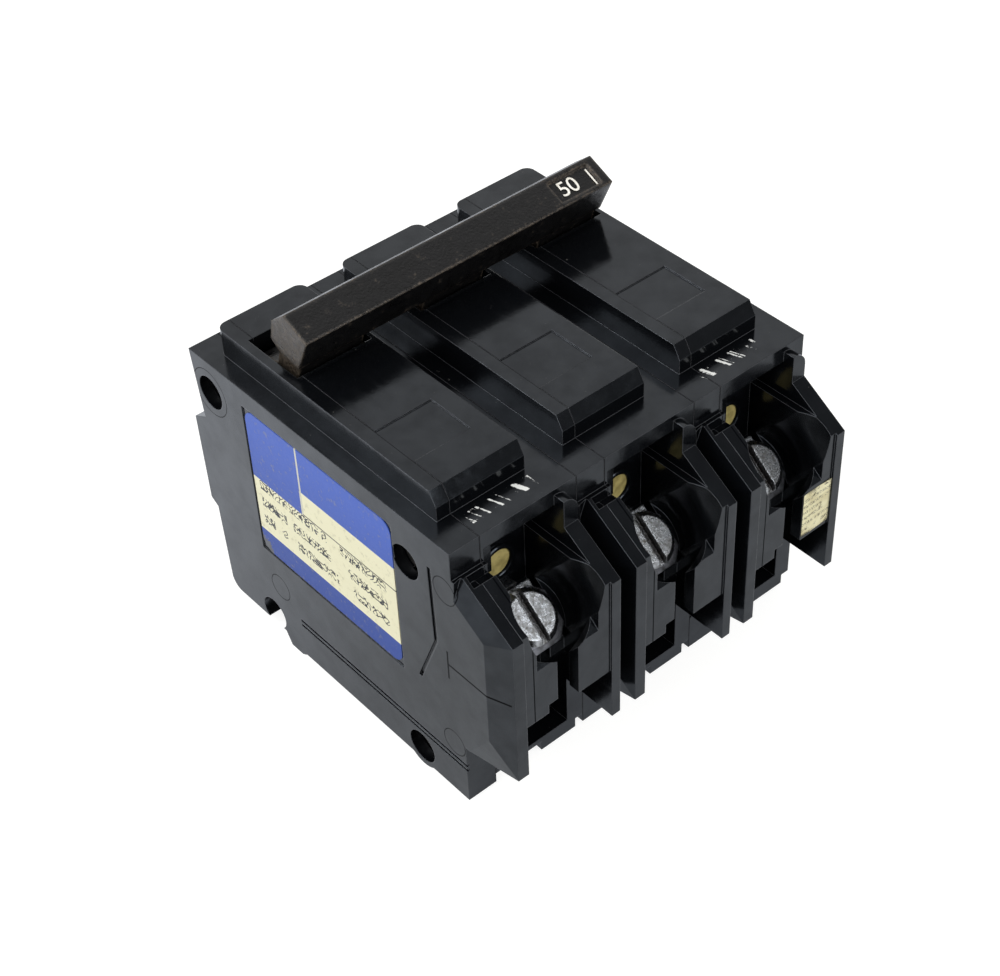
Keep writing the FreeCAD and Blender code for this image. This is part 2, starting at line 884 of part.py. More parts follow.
    # Mechanism room, handle slot and bearings
    cut_side(body, d.seam, d.cavity_right, cavity_outline())
    drum = [(d.pivot_along, d.pivot_height, d.drum_radius + d.drum_gap)]
    cut_rounds(body, d.seam, d.slot_right - d.drum_cheek, drum)
    cut_box(body, d.seam, d.slot_right, d.slot_back, d.slot_front, d.pivot_height,
            d.boss_height)
    trunnion = [(d.pivot_along, d.pivot_height, d.trunnion_radius + d.running_gap)]
    cut_rounds(body, d.seam, d.pole_pitch - d.trunnion_end, trunnion)
    cut_rounds(body, d.seam, d.pole_pitch - d.pin_end, pin_rounds(0))
    trip_end = d.pole_pitch if pole < POLES - 1 else d.pole_pitch - d.trunnion_end
    trip = [(d.trip_along, d.trip_height, d.trip_radius + d.running_gap)]
    cut_rounds(body, d.seam, trip_end, trip)
    cut_rounds(body, d.seam, d.pole_pitch, rivet_rounds(d.rivet_radius + d.rivet_clearance))
    if pole == POLES - 1:
        cut_rounds(body, d.pole_pitch - d.rivet_sink, d.pole_pitch, rivet_rounds(d.rivet_well))

    # Slot for the bus stab, open below and at the line end, and the jaw tang's passage
    cut_box(body, d.jaw_left, d.jaw_right, d.shelf_tip - 1, d.jaw_front, 0, d.jaw_roof)
    cut_box(body, d.tang_left, d.tang_right, d.jaw_reach, d.tang_front,
            d.jaw_roof - d.jaw_sheet, d.jaw_roof)
    cut_box(body, d.tang_left, d.tang_right, d.tang_back, d.tang_front, d.jaw_roof,
            d.chute_height)

    # Plain panel sunk in the boss top
    cut_box(body, d.seam, d.panel_right, d.panel_back, d.panel_front,
            d.boss_height - d.panel_depth, d.boss_height)
    place_in_pole(body, pole)


def tail_bottom():
    """Height of the terminal tail's underside, where the plate turns level."""
    under = d.plate_top + d.plate_sheet
    rise = sine(d.screw_tilt) / cosine(d.screw_tilt)
    middle = d.screw_along - sine(d.screw_tilt) * under
    level = d.screw_height - cosine(d.screw_tilt) * under
    return level + (middle - d.recess_back) * rise


# ---------------------------------------------------------------- line side

def build_line_jaw(pole):
    """Plug-on jaw: two sprung legs, a bridge and the tang that carries the contact."""
    body = new_body("line_jaw_%d" % (pole + 1))
    bridge = d.jaw_roof - d.jaw_sheet
    left = d.tang_left
    right = d.tang_right
    pad_box(body, left, right, d.jaw_reach, d.tang_front, bridge, d.jaw_roof)
    for inner, outer in ((left + d.jaw_sheet, left), (right - d.jaw_sheet, right)):
        flare = d.jaw_flare if outer is right else -d.jaw_flare
        leg = new_sketch(body, "XZ", -y_at(d.jaw_reach))
        polygon(leg, [
            (outer, bridge),
            (inner, bridge),
            (inner, d.jaw_mouth + 2),
            (inner + flare, d.jaw_mouth),
            (outer + flare, d.jaw_mouth),
            (outer, d.jaw_mouth + 2),
        ])
        pad(body, leg, d.jaw_front - 1 - d.jaw_reach)
    pad_box(body, left, right, d.tang_back, d.tang_front, bridge, d.tang_top)
    place_in_pole(body, pole)


def build_fixed_contacts():
    """One silver contact on each jaw's tang, made as a group."""
    x = [d.contact_x + d.pole_pitch * (pole - POLES / 2) for pole in range(POLES)]
    z = d.arm_height - d.contact_level
    discs = []
    for place in x:
        start = Vector(place.number, y_at(d.tang_front).number, z.number)
        disc = Part.makeCylinder(d.contact_radius.number, d.fixed_height.number, start,
                                 Vector(0, -1, 0))
        discs.append(disc)
    add_group("fixed_contacts", discs)


def add_group(label, solids):
    """A node of separate like solids, with sizes read from the sheet."""
    item = doc.addObject("Part::Feature", label)
    item.Label = label
    item.Shape = Part.makeCompound(solids)
    parts.append(item)


# ---------------------------------------------------------------- moving mechanism

def build_contact_arm(pole):
    """Copper arm with its contact, lugs for the braid and the spring; drawn closed."""
    body = new_body("contact_arm_%d" % (pole + 1))
    width = d.arm_right - d.arm_left
    pad(body, circles(new_sketch(body, "YZ", d.arm_left), [(0, 0, d.arm_hub)]), width)
    inner = d.arm_reach - d.arm_sheet
    blade = polygon(new_sketch(body, "YZ", d.arm_left), [
        (-d.arm_neck_back, d.arm_neck_top),
        (-d.arm_heel_back, -d.arm_heel_drop),
        (inner, -d.arm_knee - 1),
        (inner, -d.arm_length),
        (d.arm_reach, -d.arm_length),
        (d.arm_reach, -d.arm_knee),
        (d.arm_toe_front, d.arm_toe_top),
    ])
    pad(body, blade, width)
    button = new_sketch(body, "XZ", -d.arm_reach)
    circles(button, [(d.contact_x, -d.contact_level, d.contact_radius)])
    pad(body, button, d.contact_height, True)
    lug = circles(new_sketch(body, "YZ", d.arm_right), [(d.lug_reach, -d.lug_drop, d.lug_radius)])
    pad(body, lug, d.lug_end - d.arm_right)
    stub = circles(new_sketch(body, "YZ", d.spring_x - 1), [
        (d.lug_reach, -d.lug_drop, d.stub_radius),
    ])
    pad(body, stub, d.arm_left - d.spring_x + 1)
    hole = circles(new_sketch(body, "YZ", d.arm_left), [(0, 0, d.pin_radius + d.running_gap)])
    pocket(body, hole, width, True)
    place_in_pole(body, pole, 0, y_at(d.arm_along), d.arm_height, -d.arm_swing)


def build_handle_lever(pole):
    """Lever of one pole: a drum that closes the slot, its trunnions and the upright."""
    body = new_body("handle_lever_%d" % (pole + 1))
    width = d.lever_right - d.lever_left
    drum = circles(new_sketch(body, "YZ", d.lever_left), [(0, 0, d.drum_radius)])
    pad(body, drum, width)
    stem = rectangle(new_sketch(body, "YZ", d.lever_left), -d.lever_half, d.lever_half, 0,
                     d.lever_top)
    pad(body, stem, width)
    pin = circles(new_sketch(body, "YZ", d.trunnion_end), [(0, 0, d.trunnion_radius)])
    pad(body, pin, d.pole_pitch - d.trunnion_end * 2)
    place_in_pole(body, pole, 0, y_at(d.pivot_along), d.pivot_height, d.handle_lean)


def build_handle_tie():
    """Tie bar that joins the three levers, with a sunk window at its far end."""
    body = new_body("handle_tie")
    whole = d.pole_pitch * POLES
    section = polygon(new_sketch(body, "YZ", d.bar_end_gap), [
        (d.bar_back, d.bar_back_height),
        (d.bar_peak, d.bar_peak_height),
        (-d.bar_front, d.bar_front_height),
        (-d.bar_toe, d.bar_toe_height),
        (d.bar_heel, d.bar_heel_height),
        (d.bar_hip, d.bar_hip_height),
    ])
    pad(body, section, whole - d.bar_end_gap * 2)
    for pole in range(POLES):
        left = d.lever_left + d.pole_pitch * pole
        socket = rectangle(new_sketch(body, "YZ", left), -d.lever_half, d.lever_half,
                           d.bar_heel_height - 2, d.lever_top)
        pocket(body, socket, d.lever_right - d.lever_left, True)

    # Window in the top face, laid along the slant between the peak and the front edge
    run = d.bar_peak + d.bar_front
    fall = (d.bar_peak_height - d.bar_front_height) / run
    back = d.bar_peak - (run - d.window_wide) / 2
    front = back - d.window_wide
    back_level = d.bar_peak_height - (d.bar_peak - back) * fall
    front_level = d.bar_peak_height - (d.bar_peak - front) * fall
    right = whole - d.bar_end_gap - d.window_end
    window = polygon(new_sketch(body, "YZ", right - d.window_long), [
        (back, back_level - d.window_depth),
        (back, back_level + d.window_depth),
        (front, front_level + d.window_depth),
        (front, front_level - d.window_depth),
    ])
    pocket(body, window, d.window_long, True)
    place_in_pole(body, 0, 0, y_at(d.pivot_along), d.pivot_height, d.handle_lean)


def build_cradle(pole):
    """Trip lever: a flat plate with its hub, spring pin and latching toe."""
    body = new_body("cradle_%d" % (pole + 1))
    width = d.cradle_right - d.cradle_left
    hub = [(d.cradle_along, d.cradle_height, d.cradle_hub)]
    pad(body, side_circles(body, d.cradle_left, hub), width)
    pad_side(body, d.cradle_left, d.cradle_right, [
        (d.cradle_along - 1, d.cradle_height + d.cradle_crown),
        (d.cradle_along + 2, d.cradle_height + d.cradle_brow),
        (d.cradle_along + d.cradle_reach, d.cradle_height - d.cradle_toe_top),
        (d.cradle_along + d.cradle_reach, d.cradle_height - d.cradle_toe),
        (d.cradle_along + d.cradle_heel, d.cradle_height - d.cradle_toe),
        (d.cradle_along + d.cradle_instep, d.cradle_height - d.cradle_instep_drop),
        (d.cradle_along, d.cradle_height - d.cradle_chin),
        (d.spring_high_along, d.spring_high_height - d.cradle_lug),
        (d.spring_high_along - d.cradle_lug, d.spring_high_height),
        (d.spring_high_along, d.spring_high_height + d.cradle_lug),
    ])
    stub = [(d.spring_high_along, d.spring_high_height, d.stub_radius)]
    pad(body, side_circles(body, d.spring_x - 1, stub), d.cradle_left - d.spring_x + 1)
    cut_rounds(body, d.cradle_left, d.cradle_right,
               [(d.cradle_along, d.cradle_height, d.pin_radius + d.running_gap)])
    place_in_pole(body, pole)


def build_toggle_spring(pole):
    """Tension spring between the arm and the cradle: a close-wound barrel with hook necks."""
    body = new_body("toggle_spring_%d" % (pole + 1))
    low_y, low_z = lug_at_rest()
    run = d.spring_high_along - (d.line_y - low_y)
    rise = d.spring_high_height - low_z
    clear = d.stub_radius.number + d.running_gap.number
    top = math.hypot(run.number, rise.number) - clear
    hook = d.spring_hook.number
    revolve(body, [
        (0, clear),
        (d.spring_core, clear),
        (d.spring_core, clear + hook),
        (d.spring_radius, clear + hook),
        (d.spring_radius, top - hook),
        (d.spring_core, top - hook),
        (d.spring_core, top),
        (0, top),
    ])
    lean = math.degrees(math.atan2(run.number, rise.number))
    place_in_pole(body, pole, d.spring_x, low_y, low_z, lean)


def build_trip_bar():
    """Cross bar that trips the three poles together, with a tab in each pole."""
    body = new_body("trip_bar")
    start = d.trunnion_end + d.trip_end_gap
    whole = d.pole_pitch * POLES
    rod = side_circles(body, start, [(d.trip_along, d.trip_height, d.trip_radius)])
    pad(body, rod, whole - start * 2)
    for pole in range(POLES):
        left = d.pole_pitch * pole + d.arm_left
        right = left + d.trip_tab_width
        reach = d.trip_along + d.trip_tab
        pad_box(body, left, right, d.trip_along, reach, d.trip_height - 1,
                d.trip_height + 1)
        pad_box(body, left, right, reach - d.trip_tab_sheet, reach, d.trip_height,
                d.trip_tab_top)
    place_in_pole(body, 0)


def build_armature(pole):
    """Hinged armature plate with its knuckle and a foot towards the trip bar."""
    body = new_body("armature_%d" % (pole + 1))
    back = d.armature_along - d.armature_sheet / 2
    front = d.armature_along + d.armature_sheet / 2
    pad_box(body, d.armature_left, d.armature_right, back, front, d.armature_bottom,
            d.armature_height)
    knuckle = [(d.armature_along, d.armature_height, d.armature_knuckle)]
    width = d.armature_right - d.armature_left
    pad(body, side_circles(body, d.armature_left, knuckle), width)
    bore = [(d.armature_along, d.armature_height, d.armature_pin + d.running_gap)]
    cut_rounds(body, d.armature_left, d.armature_right, bore)
    place_in_pole(body, pole)


# ---------------------------------------------------------------- fixed current path

def build_magnet_yoke(pole):
    """U-shaped yoke round the bimetal, seated on the front wall of the room."""
    body = new_body("magnet_yoke_%d" % (pole + 1))
    pad_box(body, d.yoke_left, d.yoke_right, d.yoke_back, d.cavity_front, d.yoke_bottom,
            d.yoke_top)
    cut_box(body, d.yoke_left + d.yoke_sheet, d.yoke_right - d.yoke_sheet, d.yoke_back,
            d.cavity_front - d.yoke_sheet, d.yoke_bottom, d.yoke_top)
    place_in_pole(body, pole)


def build_bimetal(pole):
    """Bimetal strip, hung from its fixed upper end, with a lug for the braid."""
    body = new_body("bimetal_%d" % (pole + 1))
    front = d.bimetal_back + d.bimetal_sheet
    pad_box(body, d.bimetal_left, d.bimetal_right, d.bimetal_back, front, d.bimetal_bottom,
            d.cavity_step_height)
    pad_box(body, d.bimetal_right, d.lug_end, d.bimetal_back, front, d.bimetal_bottom,
            d.bimetal_bottom + d.bimetal_lug)
    place_in_pole(body, pole)


def build_braid(pole):
    """Flexible lead from the contact arm to the free end of the bimetal."""
    body = new_body("braid_%d" % (pole + 1))
    start_y, start_z = lug_at_rest()
    route = [
        (start_y, start_z),
        (y_at(d.arm_along + d.braid_sag_along), start_z - d.braid_sag),
        (y_at(d.bimetal_back - d.braid_rise_back), start_z - d.braid_rise),
        (y_at(d.bimetal_back + d.bimetal_sheet / 2), d.bimetal_bottom + d.bimetal_lug / 2),
    ]
    upper = [(y, z + d.braid_half) for y, z in route]
    lower = [(y, z - d.braid_half) for y, z in reversed(route)]
    sketch = polygon(new_sketch(body, "YZ", d.lug_end), upper + lower)
    pad(body, sketch, d.braid_radius * 2)
    place_in_pole(body, pole)


def lug_at_rest():
    """Y and Z of the braid's lug on the open contact arm."""
    y = d.lug_reach * cosine(d.arm_swing) - d.lug_drop * sine(d.arm_swing)
    z = -d.lug_reach * sine(d.arm_swing) - d.lug_drop * cosine(d.arm_swing)
    return (y_at(d.arm_along) + y, d.arm_height + z)


def build_arc_chute(pole):
    """Row of notched steel plates below the opening contacts."""
    plates = []
    for index in range(int(d.plate_count.number)):
        along = d.plate_first.number + d.plate_pitch.number * index
        left, right = d.arc_left.number, d.arc_right.number
        bottom, top = d.cavity_floor.number, d.arc_top.number
        y = d.line_y.number - along
        notch = d.arc_notch.number
        depth = d.arc_notch_depth.number
        middle = d.contact_x.number
        corners = [
            (left, bottom),
            (right, bottom),
            (right, top),
            (middle + notch, top),
            (middle, top - depth),
            (middle - notch, top),
            (left, top),
        ]
        wire = Part.makePolygon([Vector(x, y, z) for x, z in corners + corners[:1]])
        plates.append(Part.Face(wire).extrude(Vector(0, -d.arc_sheet.number, 0)))
    label = "arc_chute_%d" % (pole + 1)
    add_group(label, plates)
    across = d.pole_pitch * (pole - POLES / 2)
    parts[-1].Placement = Placement(Vector(across.number, 0, 0), Rotation())
    bind(parts[-1], "Placement.Base.x", across)


# ---------------------------------------------------------------- load terminal

def build_load_terminal(pole):
    """Terminal plate square to the screw, with its tail bent level into the room."""
    body = new_body("load_terminal_%d" % (pole + 1))
    sketch = screw_sketch(body, d.plate_top)
    rectangle(sketch, -d.plate_half, d.plate_half, -d.plate_half, d.plate_back)
    pad(body, sketch, d.plate_sheet, True)
    pad_box(body, d.tail_left, d.tail_right, d.bimetal_back + d.bimetal_sheet,
            d.recess_back + d.tail_bend, tail_bottom(), tail_bottom() + d.plate_sheet)
    hole = circles(screw_sketch(body, d.plate_top), [(0, 0, d.shank_radius + d.running_gap)])
    pocket(body, hole, d.plate_sheet)
    place_in_pole(body, pole)


def build_clamp_plate(pole):
    """Square pressure plate under the screw's head, with clipped corners."""
    body = new_body("clamp_plate_%d" % (pole + 1))
    half = d.clamp_half
    clip = d.clamp_half - d.clamp_corner
    back = d.clamp_back
    back_clip = d.clamp_back - d.clamp_corner
    sketch = new_sketch(body, "XY", -d.clamp_top)
    polygon(sketch, [
        (-half, -clip), (-clip, -half), (clip, -half), (half, -clip),
        (half, back_clip), (clip, back), (-clip, back), (-half, back_clip),
    ])
    pad(body, sketch, d.clamp_sheet, True)
    pocket(body, circles(new_sketch(body, "XY", -d.clamp_top), [(0, 0, d.clamp_bore)]),
           d.clamp_sheet)
    place_in_pole(body, pole, d.screw_x, y_at(d.screw_along), d.screw_height, d.screw_tilt)


def build_terminal_screw(pole):
    """Slotted pan-head screw."""
    body = new_body("terminal_screw_%d" % (pole + 1))
    revolve(body, [
        (0, 0),
        (d.head_radius - d.head_crown, 0),
        (d.head_radius, -d.head_crown),
        (d.head_radius, -d.head_height),
        (d.shank_radius, -d.head_height),
        (d.shank_radius, -d.shank_end),
        (0, -d.shank_end),
    ])
    slot = new_sketch(body, "XY")
    rectangle(slot, -d.driver_slot / 2, d.driver_slot / 2, -d.head_radius - 1,
              d.head_radius + 1)
    pocket(body, slot, d.driver_depth)
    place_in_pole(body, pole, d.screw_x, y_at(d.screw_along), d.screw_height, d.screw_tilt)


def build_calibration():
    """Calibration screws and their wax seals, each kind made as a group."""
    screws, seals = [], []
    for pole in range(POLES):
        x = d.seal_x.number + d.pole_pitch.number * (pole - POLES / 2)
        face = y_at(d.recess_back).number
        floor = face + d.seal_depth.number
        tip = y_at(d.bimetal_back + d.bimetal_sheet).number
        z = d.seal_height.number
        screws.append(Part.makeCylinder(d.calibration_radius.number, tip - floor,
                                        Vector(x, floor, z), Vector(0, 1, 0)))
        seals.append(Part.makeCylinder(d.seal_radius.number, d.seal_depth.number,
                                       Vector(x, face, z), Vector(0, 1, 0)))
    add_group("calibration_screws", screws)
    add_group("calibration_seals", seals)


# ---------------------------------------------------------------- label, fasteners and pins

def build_side_label():
    """Foil label with round corners, in the shallow field on the first pole's side."""
    body = new_body("side_label")
    left = d.relief - d.label_sheet
    sketch = side_box(body, left, d.label_back + d.label_gap, d.label_front - d.label_gap,
                      d.label_bottom + d.label_gap, d.label_top - d.label_gap)
    pad(body, sketch, d.label_sheet)
    round_edges(body, lambda first, second: near(first.y, second.y) and near(first.z, second.z),
                d.label_corner)
    place_in_pole(body, 0)


def build_through_rivets():
    """Four rivets through all the poles, headed in the wells at both ends."""
    rivets = []
    left = d.rivet_sink.number - d.pole_pitch.number * POLES / 2
    for along, height in rivet_places():
        start = Vector(left, y_at(along).number, height.number)
        end = Vector(-left, start.y, start.z)
        across = Vector(1, 0, 0)
        shank = Part.makeCylinder(d.rivet_radius.number, end.x - start.x, start, across)
        head = Part.makeCylinder(d.rivet_head.number, d.rivet_head_height.number, start,
                                 -across)
        tail = Part.makeCylinder(d.rivet_head.number, d.rivet_head_height.number, end, across)
        rivets.append(shank.fuse([head, tail]).removeSplitter())
    add_group("through_rivets", rivets)


def build_mechanism_pins():
    """Fixed pins on which the arms, cradles and armatures turn."""
    pins = []
    for pole in range(POLES):
        left = d.pole_pitch.number * (pole - POLES / 2) + d.pin_end.number
        length = d.pole_pitch.number - 2 * d.pin_end.number
        for along, height, radius in pin_rounds(0):
            start = Vector(left, y_at(along).number, height.number)
            pins.append(Part.makeCylinder(radius.number, length, start, Vector(1, 0, 0)))
    add_group("mechanism_pins", pins)


# ---------------------------------------------------------------- build and write

def build_all():
    for pole in range(POLES):
        build_cover(pole)
        build_case(pole)
        build_handle_lever(pole)
        build_line_jaw(pole)
        build_contact_arm(pole)
        build_toggle_spring(pole)
        build_cradle(pole)
        build_armature(pole)
        build_magnet_yoke(pole)
        build_bimetal(pole)
        build_braid(pole)
        build_arc_chute(pole)
        build_load_terminal(pole)
        build_clamp_plate(pole)
        build_terminal_screw(pole)
    build_handle_tie()
    build_trip_bar()
    build_fixed_contacts()
    build_calibration()
    build_side_label()
    build_through_rivets()
    build_mechanism_pins()


def check_all():
    """Stop before anything is written if an object failed or a shape is unsound."""
    for item in doc.Objects:
        if "Invalid" in item.State or "Error" in item.State:
            raise RuntimeError("failed: %s %s" % (item.Label, item.State))
    for item in parts:
        if item.Shape.isNull() or not item.Shape.isValid():
            raise RuntimeError("unsound shape: " + item.Label)


def write_all():
    os.makedirs("parts", exist_ok=True)
    for item in parts:
        item.Shape.exportStep("parts/%s.step" % item.Label)


build_all()
doc.recompute()
check_all()
write_all()
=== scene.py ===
import json
import math

import bmesh
import bpy
from mathutils import Matrix, Quaternion, Vector


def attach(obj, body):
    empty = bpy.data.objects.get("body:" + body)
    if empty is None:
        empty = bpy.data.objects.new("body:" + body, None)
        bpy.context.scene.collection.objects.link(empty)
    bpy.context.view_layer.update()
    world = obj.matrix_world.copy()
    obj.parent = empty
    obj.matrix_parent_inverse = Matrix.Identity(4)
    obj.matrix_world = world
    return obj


# A plug-in circuit breaker of three poles, lying on its back on a pale table.
# Lengths in this script are millimetres unless a name says metres. Places along a pole
# are measured from the line end, and heights from the table.

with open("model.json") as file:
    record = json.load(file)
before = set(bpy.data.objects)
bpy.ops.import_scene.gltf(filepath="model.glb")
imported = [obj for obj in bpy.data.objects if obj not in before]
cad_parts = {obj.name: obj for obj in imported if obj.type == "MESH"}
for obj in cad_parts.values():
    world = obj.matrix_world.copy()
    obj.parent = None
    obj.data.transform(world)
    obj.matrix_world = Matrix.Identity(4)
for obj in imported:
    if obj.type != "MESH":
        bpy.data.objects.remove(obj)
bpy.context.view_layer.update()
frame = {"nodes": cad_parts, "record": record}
MM = 0.001
POLES = 3
PITCH = 25.4
SEAM = 5.9
LINE_END = 39.5
# Ring left by each ejector pin on the first cover: along, height and radius
EJECTOR_RINGS = ((66.4, 47.9, 2.6), (66.2, 13.1, 2.6), (18.8, 13.8, 2.6), (5.6, 50.1, 4.6))
# Each line of the stripping gauge: along from and to, height from and to
GAUGE_LINES = ((65.8, 66.2, 28.2, 34.4), (66.0, 79.4, 31.3, 31.7))
# Half the width of a ring's line, and of the dark line at a joint between shells
RING_LINE = 0.09
JOINT_LINE = 0.12
# No joint line is drawn this close to the breaker's two outer faces
OUTER_FACE = 0.3

# Middle and half extent of the painted part of a ledge: aside, along y, and in height
PAINT_ZONES = ((24.5, 6.5), (-24.7, 1.3), (56.7, 0.1))

# Print of the foil label. Heights: the long blue block's lower edge, how much lower the
# corner block reaches, the blue foot's upper edge, and the thin dark rule
BLUE_EDGE = 43.3
CORNER_DROP = 5.2
BLUE_FOOT = 26.2
DARK_RULE = 38.3
# Along the pole: where the corner block ends, and the pale line beside it
CORNER_END = 29.0
PALE_LINE = 29.3
# Middle and half extent of the strokes, along and in height
STROKE_AREA = ((34.0, 17.0), (33.4, 5.9))
# A chip at the label's lower corner, along and up, and how far it reaches
CHIP_CENTRE = (0, 15.2, 21.4)
CHIP_REACH = 5.4

# Bead round a calibration seal: centre across, along and up, its ring and its own radius
RIM_CENTRE = (13.6, 62.5, 42.1)
RIM_RING = 3.1
RIM_BEAD = 0.55

# Paper tag: pole and lower left corner across, along and up, then its size
TAG_CORNER = (2, 15.2, 79.66, 25.4)
TAG_WIDTH = 6.6
TAG_HEIGHT = 9.4
TAG_SHEET = 0.08

# The handle's pivot as pole, across, along and up, and its lean in degrees
HANDLE_PIVOT = (0, 0, 18.4, 50.8)
HANDLE_LEAN = 16
# The tie's window, measured from that pivot before the handle leans: fall and run of its
# slanted floor, the floor's height, and how far along y its middle lies
WINDOW_FALL = 0.9
WINDOW_RUN = 6.1
WINDOW_FLOOR = 21.15
WINDOW_MIDDLE = -1.05
# Each print in the window: name, text, size of its letters and place across
WINDOW_PRINTS = (("window_number", "50", 4.2, 63.3), ("window_rule", "|", 4.0, 68.3))
# How far that print stands off the floor, and half its thickness
PRINT_LIFT = 0.05
PRINT_SHEET = 0.03

# The table: size in metres, and the hair of room under the breaker
TABLE_SIZE = 3.0
TABLE_GAP = 0.05
# Each soft light: name, place and size in metres, and power in watts
SOFTBOXES = (("key", (-0.5, 0.35, 0.8), 0.6, 5), ("side", (-0.8, -0.2, 0.45), 0.6, 3),
             ("front", (0.1, -0.8, 0.5), 0.5, 4))
# Every soft light faces this place, in metres
SOFTBOX_AIM = (0, 0, 0.03)
# Camera: degrees round, up and rolled, place in metres, then sensor and lens
CAMERA_TURNS = (-39.09, 42.2, -2.76)
CAMERA_PLACE = (-0.1658, -0.1986, 0.2621)
CAMERA_SENSOR = 36
CAMERA_LENS = 72.43


def place(pole, across, along, height):
    """A point in metres: across a pole, along it from the line end, and up."""
    x = PITCH * (pole - POLES / 2) + across
    return Vector((x, LINE_END - along, height)) * MM


# ------------------------------------------------------------ shader nodes

def linear(hex_colour):
    """An sRGB hex colour as linear red, green, blue and alpha."""
    channels = [int(hex_colour[i:i + 2], 16) / 255 for i in (1, 3, 5)]
    curve = [c / 12.92 if c <= 0.04045 else ((c + 0.055) / 1.055) ** 2.4 for c in channels]
    return (*curve, 1)


def add(tree, kind, inputs, output=0, **settings):
    """Add one node with its settings and its inputs, and give back one of its outputs."""
    node = tree.nodes.new("ShaderNode" + kind)
    for name, value in settings.items():
        setattr(node, name, value)
    for name, value in inputs.items():
        if isinstance(value, bpy.types.NodeSocket):
            tree.links.new(value, node.inputs[name])
        else:
            node.inputs[name].default_value = value
    return node.outputs[output] if node.outputs else None


def new_material(name):
    """An empty material, its node tree, and the surface's own place in millimetres."""
    material = bpy.data.materials.new(name)
    material.use_nodes = True
    tree = material.node_tree
    tree.nodes.clear()
    metres = add(tree, "TexCoord", {}, "Object")
    points = add(tree, "Mapping", {"Vector": metres, "Scale": (1000, 1000, 1000)})
    return material, tree, points


def edge_wear(tree, radius):
    """How sharply the surface turns near a point, and its normal with the edges rounded."""
    rounded = add(tree, "Bevel", {"Radius": radius * MM}, samples=6)
    true = add(tree, "NewGeometry", {}, "Normal")
    facing = add(tree, "VectorMath", {0: rounded, 1: true}, "Value", operation="DOT_PRODUCT")
    return add(tree, "Math", {0: 1.0, 1: facing}, operation="SUBTRACT"), rounded


def moulded_marks(tree, points):
    """Ejector rings and the stripping gauge on the first pole's side, as a mask."""
    y = add(tree, "SeparateXYZ", {"Vector": points}, "Y")
    height = add(tree, "SeparateXYZ", {"Vector": points}, "Z")
    along = add(tree, "Math", {0: LINE_END, 1: y}, operation="SUBTRACT")
    flat = add(tree, "CombineXYZ", {"Y": along, "Z": height})
    mask = None
    for ring_along, ring_height, radius in EJECTOR_RINGS:
        centre = (0, ring_along, ring_height)
        far = add(tree, "VectorMath", {0: flat, 1: centre}, "Value", operation="DISTANCE")
        ring = add(tree, "Math", {0: far, 1: radius, 2: RING_LINE}, operation="COMPARE")
        mask = ring if mask is None else add(tree, "Math", {0: mask, 1: ring},
                                             operation="MAXIMUM")
    for start, end, low, high in GAUGE_LINES:
        middle, half = (start + end) / 2, (end - start) / 2
        within = add(tree, "Math", {0: along, 1: middle, 2: half}, operation="COMPARE")
        middle, half = (low + high) / 2, (high - low) / 2
        line = add(tree, "Math", {0: height, 1: middle, 2: half}, operation="COMPARE")
        line = add(tree, "Math", {0: within, 1: line}, operation="MULTIPLY")
        mask = add(tree, "Math", {0: mask, 1: line}, operation="MAXIMUM")
    return mask


def joint_lines(tree, points, normal):
    """Dark lines where a shell meets the next one, on faces that cross the joint."""
    x = add(tree, "SeparateXYZ", {"Vector": points}, "X")
    across = add(tree, "Math", {0: x, 1: PITCH * POLES / 2}, operation="ADD")
    across = add(tree, "Math", {0: across, 1: PITCH}, operation="FLOORED_MODULO")
    seam = add(tree, "Math", {0: across, 1: SEAM, 2: JOINT_LINE}, operation="COMPARE")
    whole = add(tree, "Math", {0: across, 1: PITCH / 2, 2: PITCH / 2 - JOINT_LINE},
                operation="COMPARE")
    joint = add(tree, "Math", {0: 1.0, 1: whole}, operation="SUBTRACT")
    lines = add(tree, "Math", {0: seam, 1: joint}, operation="MAXIMUM")
    inner = add(tree, "Math", {0: x, 1: 0.0, 2: PITCH * POLES / 2 - OUTER_FACE},
                operation="COMPARE")
    sideways = add(tree, "SeparateXYZ", {"Vector": normal}, "X")
    crossing = add(tree, "Math", {0: sideways, 1: 0.0, 2: 0.6}, operation="COMPARE")
    lines = add(tree, "Math", {0: lines, 1: inner}, operation="MULTIPLY")
    return add(tree, "Math", {0: lines, 1: crossing}, operation="MULTIPLY")


def print_strokes(tree, across, up, pitch, stroke):
    """Rows of broken strokes that stand for lines of small print, as a mask."""
    rows = add(tree, "Math", {0: up, 1: pitch}, operation="DIVIDE")
    part = add(tree, "Math", {0: rows}, operation="FRACT")
    inked = add(tree, "Math", {0: part, 1: 0.5, 2: 0.26}, operation="COMPARE")
    row = add(tree, "Math", {0: rows}, operation="FLOOR")
    spot = add(tree, "CombineXYZ", {"X": across, "Y": up})
    letters = add(tree, "TexNoise", {"Vector": spot, "Scale": 1 / stroke, "Detail": 0.0}, "Fac")
    letters = add(tree, "Math", {0: letters, 1: 0.5, 2: 0.07}, operation="COMPARE")
    spot = add(tree, "CombineXYZ", {"X": across, "Y": row})
    words = add(tree, "TexNoise", {"Vector": spot, "Scale": 0.17 / stroke}, "Fac")
    words = add(tree, "Math", {0: words, 1: 0.42}, operation="GREATER_THAN")
    mask = add(tree, "Math", {0: inked, 1: letters}, operation="MULTIPLY")
    return add(tree, "Math", {0: mask, 1: words}, operation="MULTIPLY")


